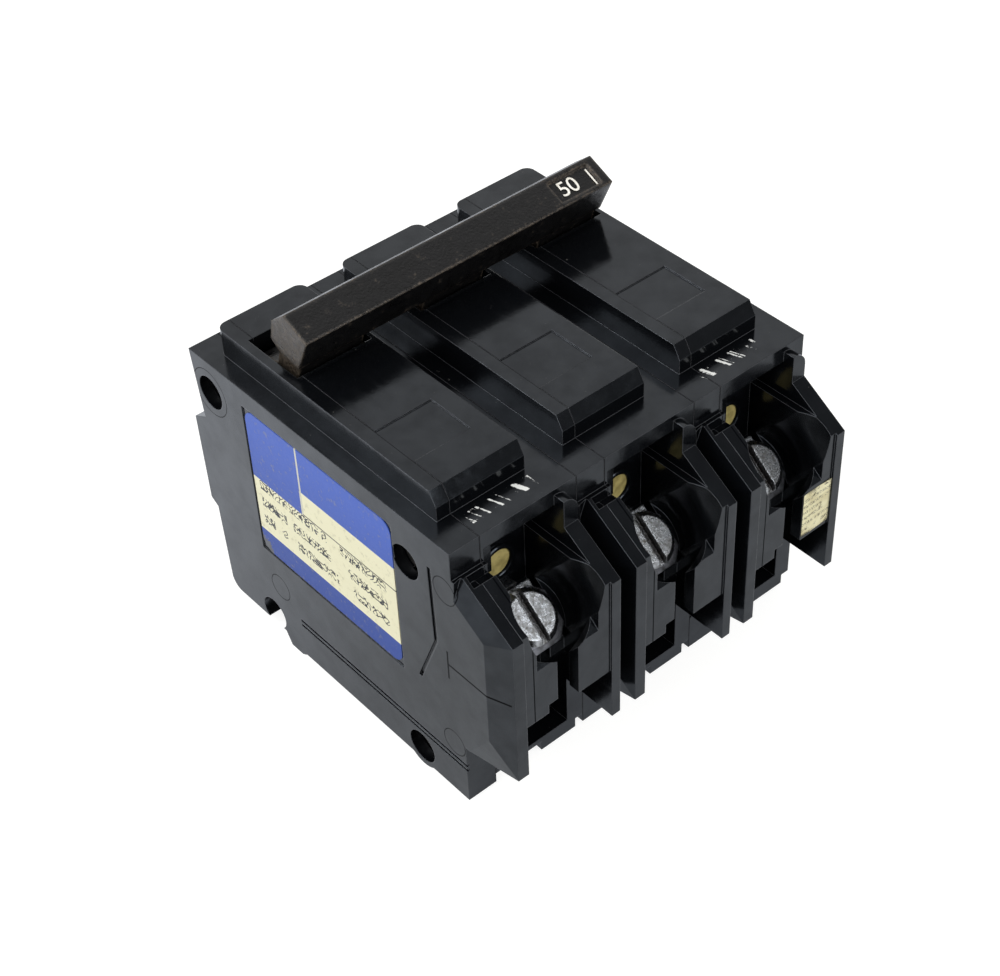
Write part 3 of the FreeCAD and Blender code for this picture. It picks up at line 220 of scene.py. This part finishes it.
def ledge_paint(tree, points, spots):
    """What is left of white paint rubbed into the ledge of the two outer poles."""
    x = add(tree, "SeparateXYZ", {"Vector": points}, "X")
    y = add(tree, "SeparateXYZ", {"Vector": points}, "Y")
    height = add(tree, "SeparateXYZ", {"Vector": points}, "Z")
    aside = add(tree, "Math", {0: x}, operation="ABSOLUTE")
    slanted = add(tree, "Math", {0: y, 1: 0.35, 2: x}, operation="MULTIPLY_ADD")
    place_in_row = add(tree, "CombineXYZ", {"X": slanted})
    strokes = add(tree, "TexNoise", {"Vector": place_in_row, "Scale": 1 / 1.3}, "Fac")
    left = add(tree, "Math", {0: spots, 1: 0.35, 2: strokes}, operation="MULTIPLY_ADD")
    mask = add(tree, "MapRange", {"Value": left, "From Min": 0.72, "From Max": 0.75})
    for value, (middle, half) in zip((aside, y, height), PAINT_ZONES):
        zone = add(tree, "Math", {0: value, 1: middle, 2: half}, operation="COMPARE")
        mask = add(tree, "Math", {0: mask, 1: zone}, operation="MULTIPLY")
    return mask


def phenolic_moulding(name, marked):
    """Black phenolic, compression moulded: hard and glossy, hazed in broad patches.

    The smooth skin keeps reflections dark, crisp and cold in cast. The haze and wiped
    streaks break them, rubbed edges turn grey, and dust lies on what faces up.
    """
    material, tree, points = new_material(name)
    turn, rounded = edge_wear(tree, 0.22)
    edge = add(tree, "MapRange", {"Value": turn, "From Min": 0.03, "From Max": 0.25})
    haze = add(tree, "TexNoise", {"Vector": points, "Scale": 1 / 14, "Detail": 5.0,
                                  "Roughness": 0.6}, "Fac")
    grain = add(tree, "TexNoise", {"Vector": points, "Scale": 1 / 0.5, "Detail": 2.0}, "Fac")
    spots = add(tree, "TexNoise", {"Vector": points, "Scale": 1 / 1.1, "Detail": 6.0,
                                   "Roughness": 0.75}, "Fac")
    wiped = add(tree, "Mapping", {"Vector": points, "Scale": (1, 0.12, 1),
                                  "Rotation": (0.3, 0.1, 0.5)})
    streaks = add(tree, "TexNoise", {"Vector": wiped, "Scale": 1 / 2.5, "Detail": 5.0,
                                     "Roughness": 0.65}, "Fac")
    specks = add(tree, "MapRange", {"Value": spots, "From Min": 0.66, "From Max": 0.74})
    normal = add(tree, "NewGeometry", {}, "Normal")
    up = add(tree, "SeparateXYZ", {"Vector": normal}, "Z")
    level = add(tree, "MapRange", {"Value": up, "From Min": 0.7, "From Max": 1.0})
    dust = add(tree, "Math", {0: level, 1: specks}, operation="MULTIPLY")
    rub = add(tree, "Math", {0: edge, 1: spots}, operation="MULTIPLY")
    colour = add(tree, "Mix", {"Factor": rub, 6: linear("#07080a"), 7: linear("#6a6a6c")}, 2,
                 data_type="RGBA")
    thin = add(tree, "Math", {0: dust, 1: 0.2}, operation="MULTIPLY")
    colour = add(tree, "Mix", {"Factor": thin, 6: colour, 7: linear("#a8a49c")}, 2,
                 data_type="RGBA")
    paint = ledge_paint(tree, points, spots)
    colour = add(tree, "Mix", {"Factor": paint, 6: colour, 7: linear("#dddcd6")}, 2,
                 data_type="RGBA")
    gloss = add(tree, "MapRange", {"Value": haze, "From Min": 0.3, "From Max": 0.7,
                                   "To Min": 0.09, "To Max": 0.2})
    drag = add(tree, "MapRange", {"Value": streaks, "From Min": 0.5, "From Max": 0.75,
                                  "To Max": 0.1})
    gloss = add(tree, "Math", {0: gloss, 1: drag}, operation="ADD")
    bloom = add(tree, "TexNoise", {"Vector": points, "Scale": 1 / 5, "Detail": 6.0,
                                   "Roughness": 0.6}, "Fac")
    sheen = add(tree, "MapRange", {"Value": bloom, "From Min": 0.35, "From Max": 0.62,
                                   "To Min": 0.4, "To Max": 0.56})
    lines = joint_lines(tree, points, normal)
    sheen = add(tree, "MapRange", {"Value": lines, "To Min": sheen, "To Max": 0.03})
    height = grain
    if marked:
        marks = moulded_marks(tree, points)
        # Painted shade: the sunk rings and gauge lines are darkened and lose most of their
        # reflection, as grooves in shade look
        colour = add(tree, "Mix", {"Factor": marks, 6: colour, 7: linear("#020202")}, 2,
                     data_type="RGBA")
        sunk = add(tree, "Math", {0: marks, 1: 40.0}, operation="MULTIPLY")
        height = add(tree, "Math", {0: grain, 1: sunk}, operation="SUBTRACT")
        sheen = add(tree, "MapRange", {"Value": marks, "To Min": sheen, "To Max": 0.05})
    relief = add(tree, "Bump", {"Height": height, "Distance": 0.003 * MM, "Normal": rounded})
    waves = add(tree, "Bump", {"Height": haze, "Distance": 0.06 * MM, "Normal": relief})
    surface = add(tree, "BsdfPrincipled", {"Base Color": colour, "Roughness": gloss,
                                           "Normal": waves, "IOR": 1.47,
                                           "Specular IOR Level": sheen,
                                           "Specular Tint": (0.82, 0.9, 1.0, 1.0)})
    add(tree, "OutputMaterial", {"Surface": surface})
    return material


def handled_phenolic():
    """The same phenolic where thumbs and tools have rubbed through its skin.

    The filler shows brown along the edges and in pits, and the gloss is broken.
    Painted light also makes the end that faces the lamps lighter.
    """
    material, tree, points = new_material("phenolic_rubbed_by_hands")
    turn, rounded = edge_wear(tree, 0.9)
    patches = add(tree, "TexNoise", {"Vector": points, "Scale": 1 / 1.8, "Detail": 6.0,
                                     "Roughness": 0.7}, "Fac")
    pits = add(tree, "TexNoise", {"Vector": points, "Scale": 1 / 0.45, "Detail": 3.0}, "Fac")
    edge = add(tree, "MapRange", {"Value": turn, "From Min": 0.01, "From Max": 0.16,
                                  "To Max": 0.34})
    worn = add(tree, "Math", {0: edge, 1: patches}, operation="ADD")
    wear_and_painted_light = add(tree, "MapRange", {"Value": worn, "From Min": 0.6, "From Max": 0.9})
    normal = add(tree, "NewGeometry", {}, "Normal")
    # Painted light: faces turned to -x, the tie's end that faces the lamps, go up to half way
    # to the worn brown
    side = add(tree, "SeparateXYZ", {"Vector": normal}, "X")
    end = add(tree, "MapRange", {"Value": side, "From Min": -0.7, "From Max": -0.95,
                                 "To Max": 0.5})
    wear_and_painted_light = add(tree, "Math", {0: wear_and_painted_light, 1: end}, operation="MAXIMUM")
    chafe = add(tree, "MapRange", {"Value": pits, "From Min": 0.4, "From Max": 0.65,
                                   "To Min": 0.35, "To Max": 1.0})
    wear_and_painted_light = add(tree, "Math", {0: wear_and_painted_light, 1: chafe}, operation="MULTIPLY")
    colour = add(tree, "Mix", {"Factor": wear_and_painted_light, 6: linear("#0b0a0a"), 7: linear("#665a4c")}, 2,
                 data_type="RGBA")
    gloss = add(tree, "MapRange", {"Value": patches, "From Min": 0.3, "From Max": 0.7,
                                   "To Min": 0.2, "To Max": 0.5})
    height = add(tree, "Math", {0: patches, 1: pits}, operation="ADD")
    relief = add(tree, "Bump", {"Height": height, "Distance": 0.06 * MM, "Normal": rounded})
    surface = add(tree, "BsdfPrincipled", {"Base Color": colour, "Roughness": gloss,
                                           "Normal": relief, "IOR": 1.47})
    add(tree, "OutputMaterial", {"Surface": surface})
    return material


def worked_metal(name, bright, dull, gloss, patch, rust_and_shade=0.0):
    """Bare or plated metal: tarnish in patches, fine scratches, rust on edges and where dirt
    sits in the hollows, where the same dark brown is also painted shade.
    """
    material, tree, points = new_material(name)
    turn, rounded = edge_wear(tree, 0.3)
    patches = add(tree, "TexNoise", {"Vector": points, "Scale": 1 / patch, "Detail": 6.0,
                                     "Roughness": 0.7}, "Fac")
    share = add(tree, "MapRange", {"Value": patches, "From Min": 0.42, "From Max": 0.66})
    colour = add(tree, "Mix", {"Factor": share, 6: linear(bright), 7: linear(dull)}, 2,
                 data_type="RGBA")
    # Painted shade: hollows found by ambient occlusion take the dark rust brown, partly rust
    # and partly shade
    open_sky = add(tree, "AmbientOcclusion", {"Distance": 1.8 * MM}, "AO", samples=8)
    hollow_rust_and_shade = add(tree, "MapRange", {"Value": open_sky, "From Min": 0.75, "From Max": 0.35,
                                       "To Max": rust_and_shade})
    edge = add(tree, "MapRange", {"Value": turn, "From Min": 0.1, "From Max": 0.3,
                                  "To Max": rust_and_shade})
    edge = add(tree, "Math", {0: edge, 1: share}, operation="MULTIPLY")
    rust_and_painted_shade = add(tree, "Math", {0: edge, 1: hollow_rust_and_shade}, operation="MAXIMUM")
    colour = add(tree, "Mix", {"Factor": rust_and_painted_shade, 6: colour, 7: linear("#24170f")}, 2,
                 data_type="RGBA")
    rough = add(tree, "MapRange", {"Value": patches, "From Min": 0.3, "From Max": 0.7,
                                   "To Min": gloss, "To Max": gloss + 0.2})
    stretched = add(tree, "Mapping", {"Vector": points, "Scale": (1, 6, 6),
                                      "Rotation": (0.4, 0.3, 0.5)})
    lines = add(tree, "TexNoise", {"Vector": stretched, "Scale": 1 / 1.2, "Detail": 5.0,
                                   "Roughness": 0.7}, "Fac")
    relief = add(tree, "Bump", {"Height": lines, "Distance": 0.03 * MM, "Normal": rounded})
    surface = add(tree, "BsdfPrincipled", {"Base Color": colour, "Roughness": rough,
                                           "Metallic": 1.0, "Normal": relief})
    add(tree, "OutputMaterial", {"Surface": surface})
    return material


def sealing_compound():
    """Poured sealing compound, matt and yellowed, with duller patches in its skin."""
    material, tree, points = new_material("sealing_compound_poured")
    patches = add(tree, "TexNoise", {"Vector": points, "Scale": 1 / 1.5, "Detail": 4.0}, "Fac")
    share = add(tree, "MapRange", {"Value": patches, "From Min": 0.35, "From Max": 0.65})
    colour = add(tree, "Mix", {"Factor": share, 6: linear("#c2b170"), 7: linear("#92834c")}, 2,
                 data_type="RGBA")
    relief = add(tree, "Bump", {"Height": patches, "Distance": 0.15 * MM})
    surface = add(tree, "BsdfPrincipled", {"Base Color": colour, "Roughness": 0.5,
                                           "Normal": relief})
    add(tree, "OutputMaterial", {"Surface": surface})
    return material


def printed_paper(name, field, stain, printed):
    """Aged paper stuck to the moulding: a mottled field, fibres, and browned stains."""
    material, tree, points = new_material(name)
    patches = add(tree, "TexNoise", {"Vector": points, "Scale": 1 / 2.2, "Detail": 5.0}, "Fac")
    share = add(tree, "MapRange", {"Value": patches, "From Min": 0.4, "From Max": 0.75,
                                   "To Max": 0.8})
    colour = add(tree, "Mix", {"Factor": share, 6: linear(field), 7: linear(stain)}, 2,
                 data_type="RGBA")
    if printed:
        x = add(tree, "SeparateXYZ", {"Vector": points}, "X")
        height = add(tree, "SeparateXYZ", {"Vector": points}, "Z")
        strokes = print_strokes(tree, x, height, 1.3, 0.45)
        faint = add(tree, "Math", {0: strokes, 1: 0.75}, operation="MULTIPLY")
        colour = add(tree, "Mix", {"Factor": faint, 6: colour, 7: linear("#4c4436")}, 2,
                     data_type="RGBA")
    fibres = add(tree, "TexNoise", {"Vector": points, "Scale": 1 / 0.25, "Detail": 3.0}, "Fac")
    relief = add(tree, "Bump", {"Height": fibres, "Distance": 0.02 * MM})
    surface = add(tree, "BsdfPrincipled", {"Base Color": colour, "Roughness": 0.6,
                                           "Normal": relief})
    add(tree, "OutputMaterial", {"Surface": surface})
    return material


def printed_foil():
    """Printed foil label: blue blocks and a cream field, rubbed, chipped and stained."""
    material, tree, points = new_material("foil_label_printed")
    y = add(tree, "SeparateXYZ", {"Vector": points}, "Y")
    height = add(tree, "SeparateXYZ", {"Vector": points}, "Z")
    along = add(tree, "Math", {0: LINE_END, 1: y}, operation="SUBTRACT")
    block = add(tree, "Math", {0: along, 1: CORNER_END}, operation="LESS_THAN")
    drop = add(tree, "Math", {0: block, 1: CORNER_DROP}, operation="MULTIPLY")
    edge = add(tree, "Math", {0: BLUE_EDGE, 1: drop}, operation="SUBTRACT")
    upper = add(tree, "Math", {0: height, 1: edge}, operation="GREATER_THAN")
    lower = add(tree, "Math", {0: height, 1: BLUE_FOOT}, operation="LESS_THAN")
    blue = add(tree, "Math", {0: upper, 1: lower}, operation="MAXIMUM")
    fade = add(tree, "MapRange", {"Value": height, "From Min": 24.0, "From Max": 50.0})
    ink = add(tree, "Mix", {"Factor": fade, 6: linear("#2b4796"), 7: linear("#4562ba")}, 2,
              data_type="RGBA")
    colour = add(tree, "Mix", {"Factor": blue, 6: linear("#efe9c6"), 7: ink}, 2,
                 data_type="RGBA")
    divider = add(tree, "Math", {0: along, 1: PALE_LINE, 2: 0.22}, operation="COMPARE")
    low = BLUE_EDGE - CORNER_DROP
    high = add(tree, "Math", {0: height, 1: low}, operation="GREATER_THAN")
    divider = add(tree, "Math", {0: divider, 1: high}, operation="MULTIPLY")
    colour = add(tree, "Mix", {"Factor": divider, 6: colour, 7: linear("#d6d2bf")}, 2,
                 data_type="RGBA")
    rule = add(tree, "Math", {0: height, 1: DARK_RULE, 2: 0.12}, operation="COMPARE")
    right = add(tree, "Math", {0: along, 1: PALE_LINE}, operation="GREATER_THAN")
    rule = add(tree, "Math", {0: rule, 1: right}, operation="MULTIPLY")
    colour = add(tree, "Mix", {"Factor": rule, 6: colour, 7: linear("#23252b")}, 2,
                 data_type="RGBA")
    strokes = print_strokes(tree, along, height, 3.9, 0.9)
    for value, (middle, half) in zip((along, height), STROKE_AREA):
        inside = add(tree, "Math", {0: value, 1: middle, 2: half}, operation="COMPARE")
        strokes = add(tree, "Math", {0: strokes, 1: inside}, operation="MULTIPLY")
    colour = add(tree, "Mix", {"Factor": strokes, 6: colour, 7: linear("#2a2c30")}, 2,
                 data_type="RGBA")
    patches = add(tree, "TexNoise", {"Vector": points, "Scale": 1 / 1.2, "Detail": 6.0,
                                     "Roughness": 0.7}, "Fac")
    stains = add(tree, "MapRange", {"Value": patches, "From Min": 0.56, "From Max": 0.7,
                                    "To Max": 0.45})
    colour = add(tree, "Mix", {"Factor": stains, 6: colour, 7: linear("#a09a78")}, 2,
                 data_type="RGBA")
    flat = add(tree, "CombineXYZ", {"Y": along, "Z": height})
    far = add(tree, "VectorMath", {0: flat, 1: CHIP_CENTRE}, "Value", operation="DISTANCE")
    ragged = add(tree, "Math", {0: patches, 1: 5.0, 2: far}, operation="MULTIPLY_ADD")
    chipped = add(tree, "Math", {0: ragged, 1: CHIP_REACH}, operation="LESS_THAN")
    colour = add(tree, "Mix", {"Factor": chipped, 6: colour, 7: linear("#5b5c60")}, 2,
                 data_type="RGBA")
    gloss = add(tree, "MapRange", {"Value": patches, "From Min": 0.3, "From Max": 0.7,
                                   "To Min": 0.34, "To Max": 0.5})
    relief = add(tree, "Bump", {"Height": patches, "Distance": 0.02 * MM})
    surface = add(tree, "BsdfPrincipled", {"Base Color": colour, "Roughness": gloss,
                                           "Normal": relief, "Specular IOR Level": 0.25})
    add(tree, "OutputMaterial", {"Surface": surface})
    return material


# The finish of each material slot, then of the pieces that have one of their own
FINISHES = {
    "moulding": phenolic_moulding("black_phenolic_moulded", False),
    "handle_moulding": handled_phenolic(),
    "plated_steel": worked_metal("zinc_plated_steel_turned", "#babcbe", "#5c5954", 0.17, 0.9,
                                 0.9),
    "steel": worked_metal("steel_stamped", "#8f9092", "#5d5b58", 0.35, 3.0),
    "rivet_steel": worked_metal("rivet_steel_headed", "#77736e", "#3d3935", 0.3, 1.0, 0.3),
    "spring_steel": worked_metal("spring_steel_drawn", "#8a8b8f", "#55555a", 0.25, 2.0),
    "copper": worked_metal("copper_stamped_dull", "#b27a58", "#774a34", 0.35, 2.0),
    "brass": worked_metal("brass_turned", "#c2a468", "#8d7440", 0.3, 2.0),
    "contact_silver": worked_metal("contact_silver_pressed", "#d2d2cf", "#96948f", 0.3, 1.5),
    "bimetal_alloy": worked_metal("bimetal_rolled", "#9b948b", "#6d675f", 0.35, 3.0),
    "sealing_wax": sealing_compound(),
    "label_foil": printed_foil(),
}
FINISHES["trip_moulding"] = FINISHES["moulding"]
OWN_FINISHES = {
    "cover_1": phenolic_moulding("black_phenolic_moulded_marked", True),
    "paper_tag": printed_paper("paper_label_printed", "#f0e8c0", "#c4b684", True),
    "number_print": printed_paper("number_paint_stamped", "#f2ede2", "#c8c2b2", False),
}
clamp_steel = worked_metal("steel_plate_stamped_dark", "#6f7074", "#3c3b3a", 0.25, 2.0, 0.5)
for pole in range(POLES):
    OWN_FINISHES["clamp_plate_%d" % (pole + 1)] = clamp_steel

for part in frame["record"]["subparts"]:
    name = part["node"]
    node = frame["nodes"][name]
    node.data.materials.clear()
    node.data.materials.append(OWN_FINISHES.get(name, FINISHES[part["material_slot"]]))


# ------------------------------------------------------------ pieces that the solids lack

def new_piece(name, shape, material, body):
    """Make an object of a bmesh, with its finish, riding on a body."""
    mesh = bpy.data.meshes.new(name)
    shape.to_mesh(mesh)
    shape.free()
    piece = bpy.data.objects.new(name, mesh)
    bpy.context.collection.objects.link(piece)
    mesh.materials.append(material)
    for face in mesh.polygons:
        face.use_smooth = True
    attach(piece, body)
    return piece


def soften(piece, width, segments):
    """Round an object's sharp edges."""
    bevel = piece.modifiers.new("rounded", "BEVEL")
    bevel.width = width * MM
    bevel.segments = segments
    bevel.limit_method = "ANGLE"
    bevel.angle_limit = math.radians(35)


def add_seal_rim(pole):
    """Raised bead of the moulding round the sealed calibration screw."""
    shape = bmesh.new()
    centre = place(pole, *RIM_CENTRE)
    ring = bmesh.ops.create_circle(shape, segments=12, radius=RIM_BEAD * MM)["verts"]
    middle = centre + Vector((RIM_RING * MM, 0, 0))
    bmesh.ops.transform(shape, matrix=Matrix.Translation(middle), verts=ring)
    bmesh.ops.spin(shape, geom=shape.verts[:] + shape.edges[:], cent=centre, axis=(0, 1, 0),
                   angle=math.tau, steps=48, use_merge=True)
    bmesh.ops.recalc_face_normals(shape, faces=shape.faces[:])
    new_piece("seal_rim_%d" % (pole + 1), shape, FINISHES["moulding"], "housing")


def add_paper_tag():
    """Cockled paper tag stuck on the front of the third pole's right block."""
    shape = bmesh.new()
    corner = place(*TAG_CORNER)
    across, up = Vector((TAG_WIDTH, 0, 0)) * MM, Vector((0, 0, TAG_HEIGHT)) * MM
    bmesh.ops.create_grid(shape, x_segments=12, y_segments=12, size=0.5)
    for vertex in shape.verts:
        u, v = vertex.co.x + 0.5, vertex.co.y + 0.5
        wave = 0.04 * math.sin(5 * u + 3 * v) + 0.12 * max(0, u + v - 1.6)
        vertex.co = corner + across * u + up * v - Vector((0, 1, 0)) * wave * MM
    bmesh.ops.solidify(shape, geom=shape.faces[:], thickness=TAG_SHEET * MM)
    bmesh.ops.recalc_face_normals(shape, faces=shape.faces[:])
    new_piece("paper_tag", shape, OWN_FINISHES["paper_tag"], "housing")


def add_window_print():
    """Plain number and a rule, stamped in the tie's window."""
    lean = Matrix.Rotation(math.radians(HANDLE_LEAN), 4, "X")
    slant = Matrix.Rotation(math.atan2(WINDOW_FALL, WINDOW_RUN), 4, "X")
    pivot = place(*HANDLE_PIVOT)
    middle = Vector((0, WINDOW_MIDDLE, WINDOW_FLOOR + PRINT_LIFT)) * MM
    for name, text, size, across in WINDOW_PRINTS:
        curve = bpy.data.curves.new(name, "FONT")
        curve.body = text
        curve.size = size * MM
        curve.align_x = "CENTER"
        curve.align_y = "CENTER"
        curve.extrude = PRINT_SHEET * MM
        lettering = bpy.data.objects.new(name, curve)
        bpy.context.collection.objects.link(lettering)
        shape = bmesh.new()
        bpy.context.view_layer.update()
        shape.from_mesh(lettering.to_mesh())
        bpy.data.objects.remove(lettering)
        matrix = (Matrix.Translation(pivot + Vector((across * MM, 0, 0))) @ lean
                  @ Matrix.Translation(middle) @ slant)
        bmesh.ops.transform(shape, matrix=matrix, verts=shape.verts[:])
        new_piece(name, shape, OWN_FINISHES["number_print"], "handle")


for pole in range(POLES):
    add_seal_rim(pole)
add_paper_tag()
add_window_print()
soften(frame["nodes"]["handle_tie"], 0.5, 3)
soften(frame["nodes"]["through_rivets"], 0.4, 2)
for pole in range(POLES):
    soften(frame["nodes"]["terminal_screw_%d" % (pole + 1)], 0.3, 3)
    soften(frame["nodes"]["clamp_plate_%d" % (pole + 1)], 0.25, 2)


# ------------------------------------------------------------ table, light and camera

def seen_level(tree, seen, mirrored, otherwise):
    """One level for rays that see a thing directly, one for reflections, one for light."""
    camera = add(tree, "LightPath", {}, "Is Camera Ray")
    through = add(tree, "LightPath", {}, "Is Transmission Ray")
    glossy = add(tree, "LightPath", {}, "Is Glossy Ray")
    plain = add(tree, "Math", {0: camera, 1: through}, operation="MAXIMUM")
    rest = add(tree, "MapRange", {"Value": glossy, "To Min": otherwise, "To Max": mirrored})
    return add(tree, "MapRange", {"Value": plain, "To Min": rest, "To Max": seen})


def build_table():
    """A pale table that keeps a faint shadow and can be seen through from below.

    It lies a hair under the breaker, and its reflections are darker towards the front.
    """
    shape = bmesh.new()
    bmesh.ops.create_grid(shape, x_segments=1, y_segments=1, size=TABLE_SIZE)
    bmesh.ops.translate(shape, verts=shape.verts[:], vec=(0, 0, -TABLE_GAP * MM))
    mesh = bpy.data.meshes.new("table")
    shape.to_mesh(mesh)
    shape.free()
    table = bpy.data.objects.new("table", mesh)
    bpy.context.collection.objects.link(table)
    material = bpy.data.materials.new("pale_table")
    material.use_nodes = True
    tree = material.node_tree
    tree.nodes.clear()
    metres = add(tree, "TexCoord", {}, "Object")
    y = add(tree, "SeparateXYZ", {"Vector": metres}, "Y")
    mirrored = add(tree, "MapRange", {"Value": y, "From Min": 0.0, "From Max": 0.06,
                                      "To Min": 0.4, "To Max": 0.85})
    paper = add(tree, "BsdfDiffuse", {"Color": linear("#a3a29d")})
    glossy = add(tree, "LightPath", {}, "Is Glossy Ray")
    cast = add(tree, "Mix", {"Factor": glossy, 6: (1, 1, 1, 1), 7: (0.9, 0.95, 1.06, 1)}, 2,
               data_type="RGBA")
    light = add(tree, "Emission", {"Color": cast,
                                   "Strength": seen_level(tree, 0.82, mirrored, 0.0)})
    both = add(tree, "AddShader", {0: paper, 1: light})
    below = add(tree, "NewGeometry", {}, "Backfacing")
    clear = add(tree, "BsdfTransparent", {})
    surface = add(tree, "MixShader", {0: below, 1: both, 2: clear})
    add(tree, "OutputMaterial", {"Surface": surface})
    mesh.materials.append(material)


def build_world():
    """White where it is seen, darker to the front in reflections, softer as light."""
    world = bpy.data.worlds.new("studio")
    bpy.context.scene.world = world
    world.use_nodes = True
    tree = world.node_tree
    tree.nodes.clear()
    direction = add(tree, "TexCoord", {}, "Generated")
    y = add(tree, "SeparateXYZ", {"Vector": direction}, "Y")
    mirrored = add(tree, "MapRange", {"Value": y, "From Min": -0.4, "From Max": 0.4,
                                      "To Min": 0.2, "To Max": 0.9})
    sky = add(tree, "Background", {"Color": (1, 1, 1, 1),
                                   "Strength": seen_level(tree, 1.0, mirrored, 0.5)})
    add(tree, "OutputWorld", {"Surface": sky})


def add_softbox(name, position, size, power):
    """A square soft light that faces the middle of the breaker."""
    light = bpy.data.lights.new(name, "AREA")
    light.shape = "SQUARE"
    light.size = size
    light.energy = power
    light.color = (0.93, 0.96, 1.0)
    lamp = bpy.data.objects.new(name, light)
    bpy.context.collection.objects.link(lamp)
    lamp.location = position
    lamp.rotation_mode = "QUATERNION"
    aim = Vector(position) - Vector(SOFTBOX_AIM)
    lamp.rotation_quaternion = aim.to_track_quat("Z", "Y")


def build_camera():
    """The camera, turned round, up and then rolled about its own axis."""
    azimuth, elevation, roll = (math.radians(angle) for angle in CAMERA_TURNS)
    back = Vector((math.sin(azimuth) * math.cos(elevation),
                   -math.cos(azimuth) * math.cos(elevation), math.sin(elevation)))
    lens = bpy.data.cameras.new("camera")
    lens.sensor_width = CAMERA_SENSOR
    lens.lens = CAMERA_LENS
    lens.clip_start = 0.01
    camera = bpy.data.objects.new("camera", lens)
    bpy.context.collection.objects.link(camera)
    camera.rotation_mode = "QUATERNION"
    level = back.to_track_quat("Z", "Y")
    camera.rotation_quaternion = level @ Quaternion((0, 0, 1), roll)
    camera.location = CAMERA_PLACE
    bpy.context.scene.camera = camera


build_table()
build_world()
for softbox in SOFTBOXES:
    add_softbox(*softbox)
build_camera()
bpy.context.scene.view_settings.view_transform = "Standard"
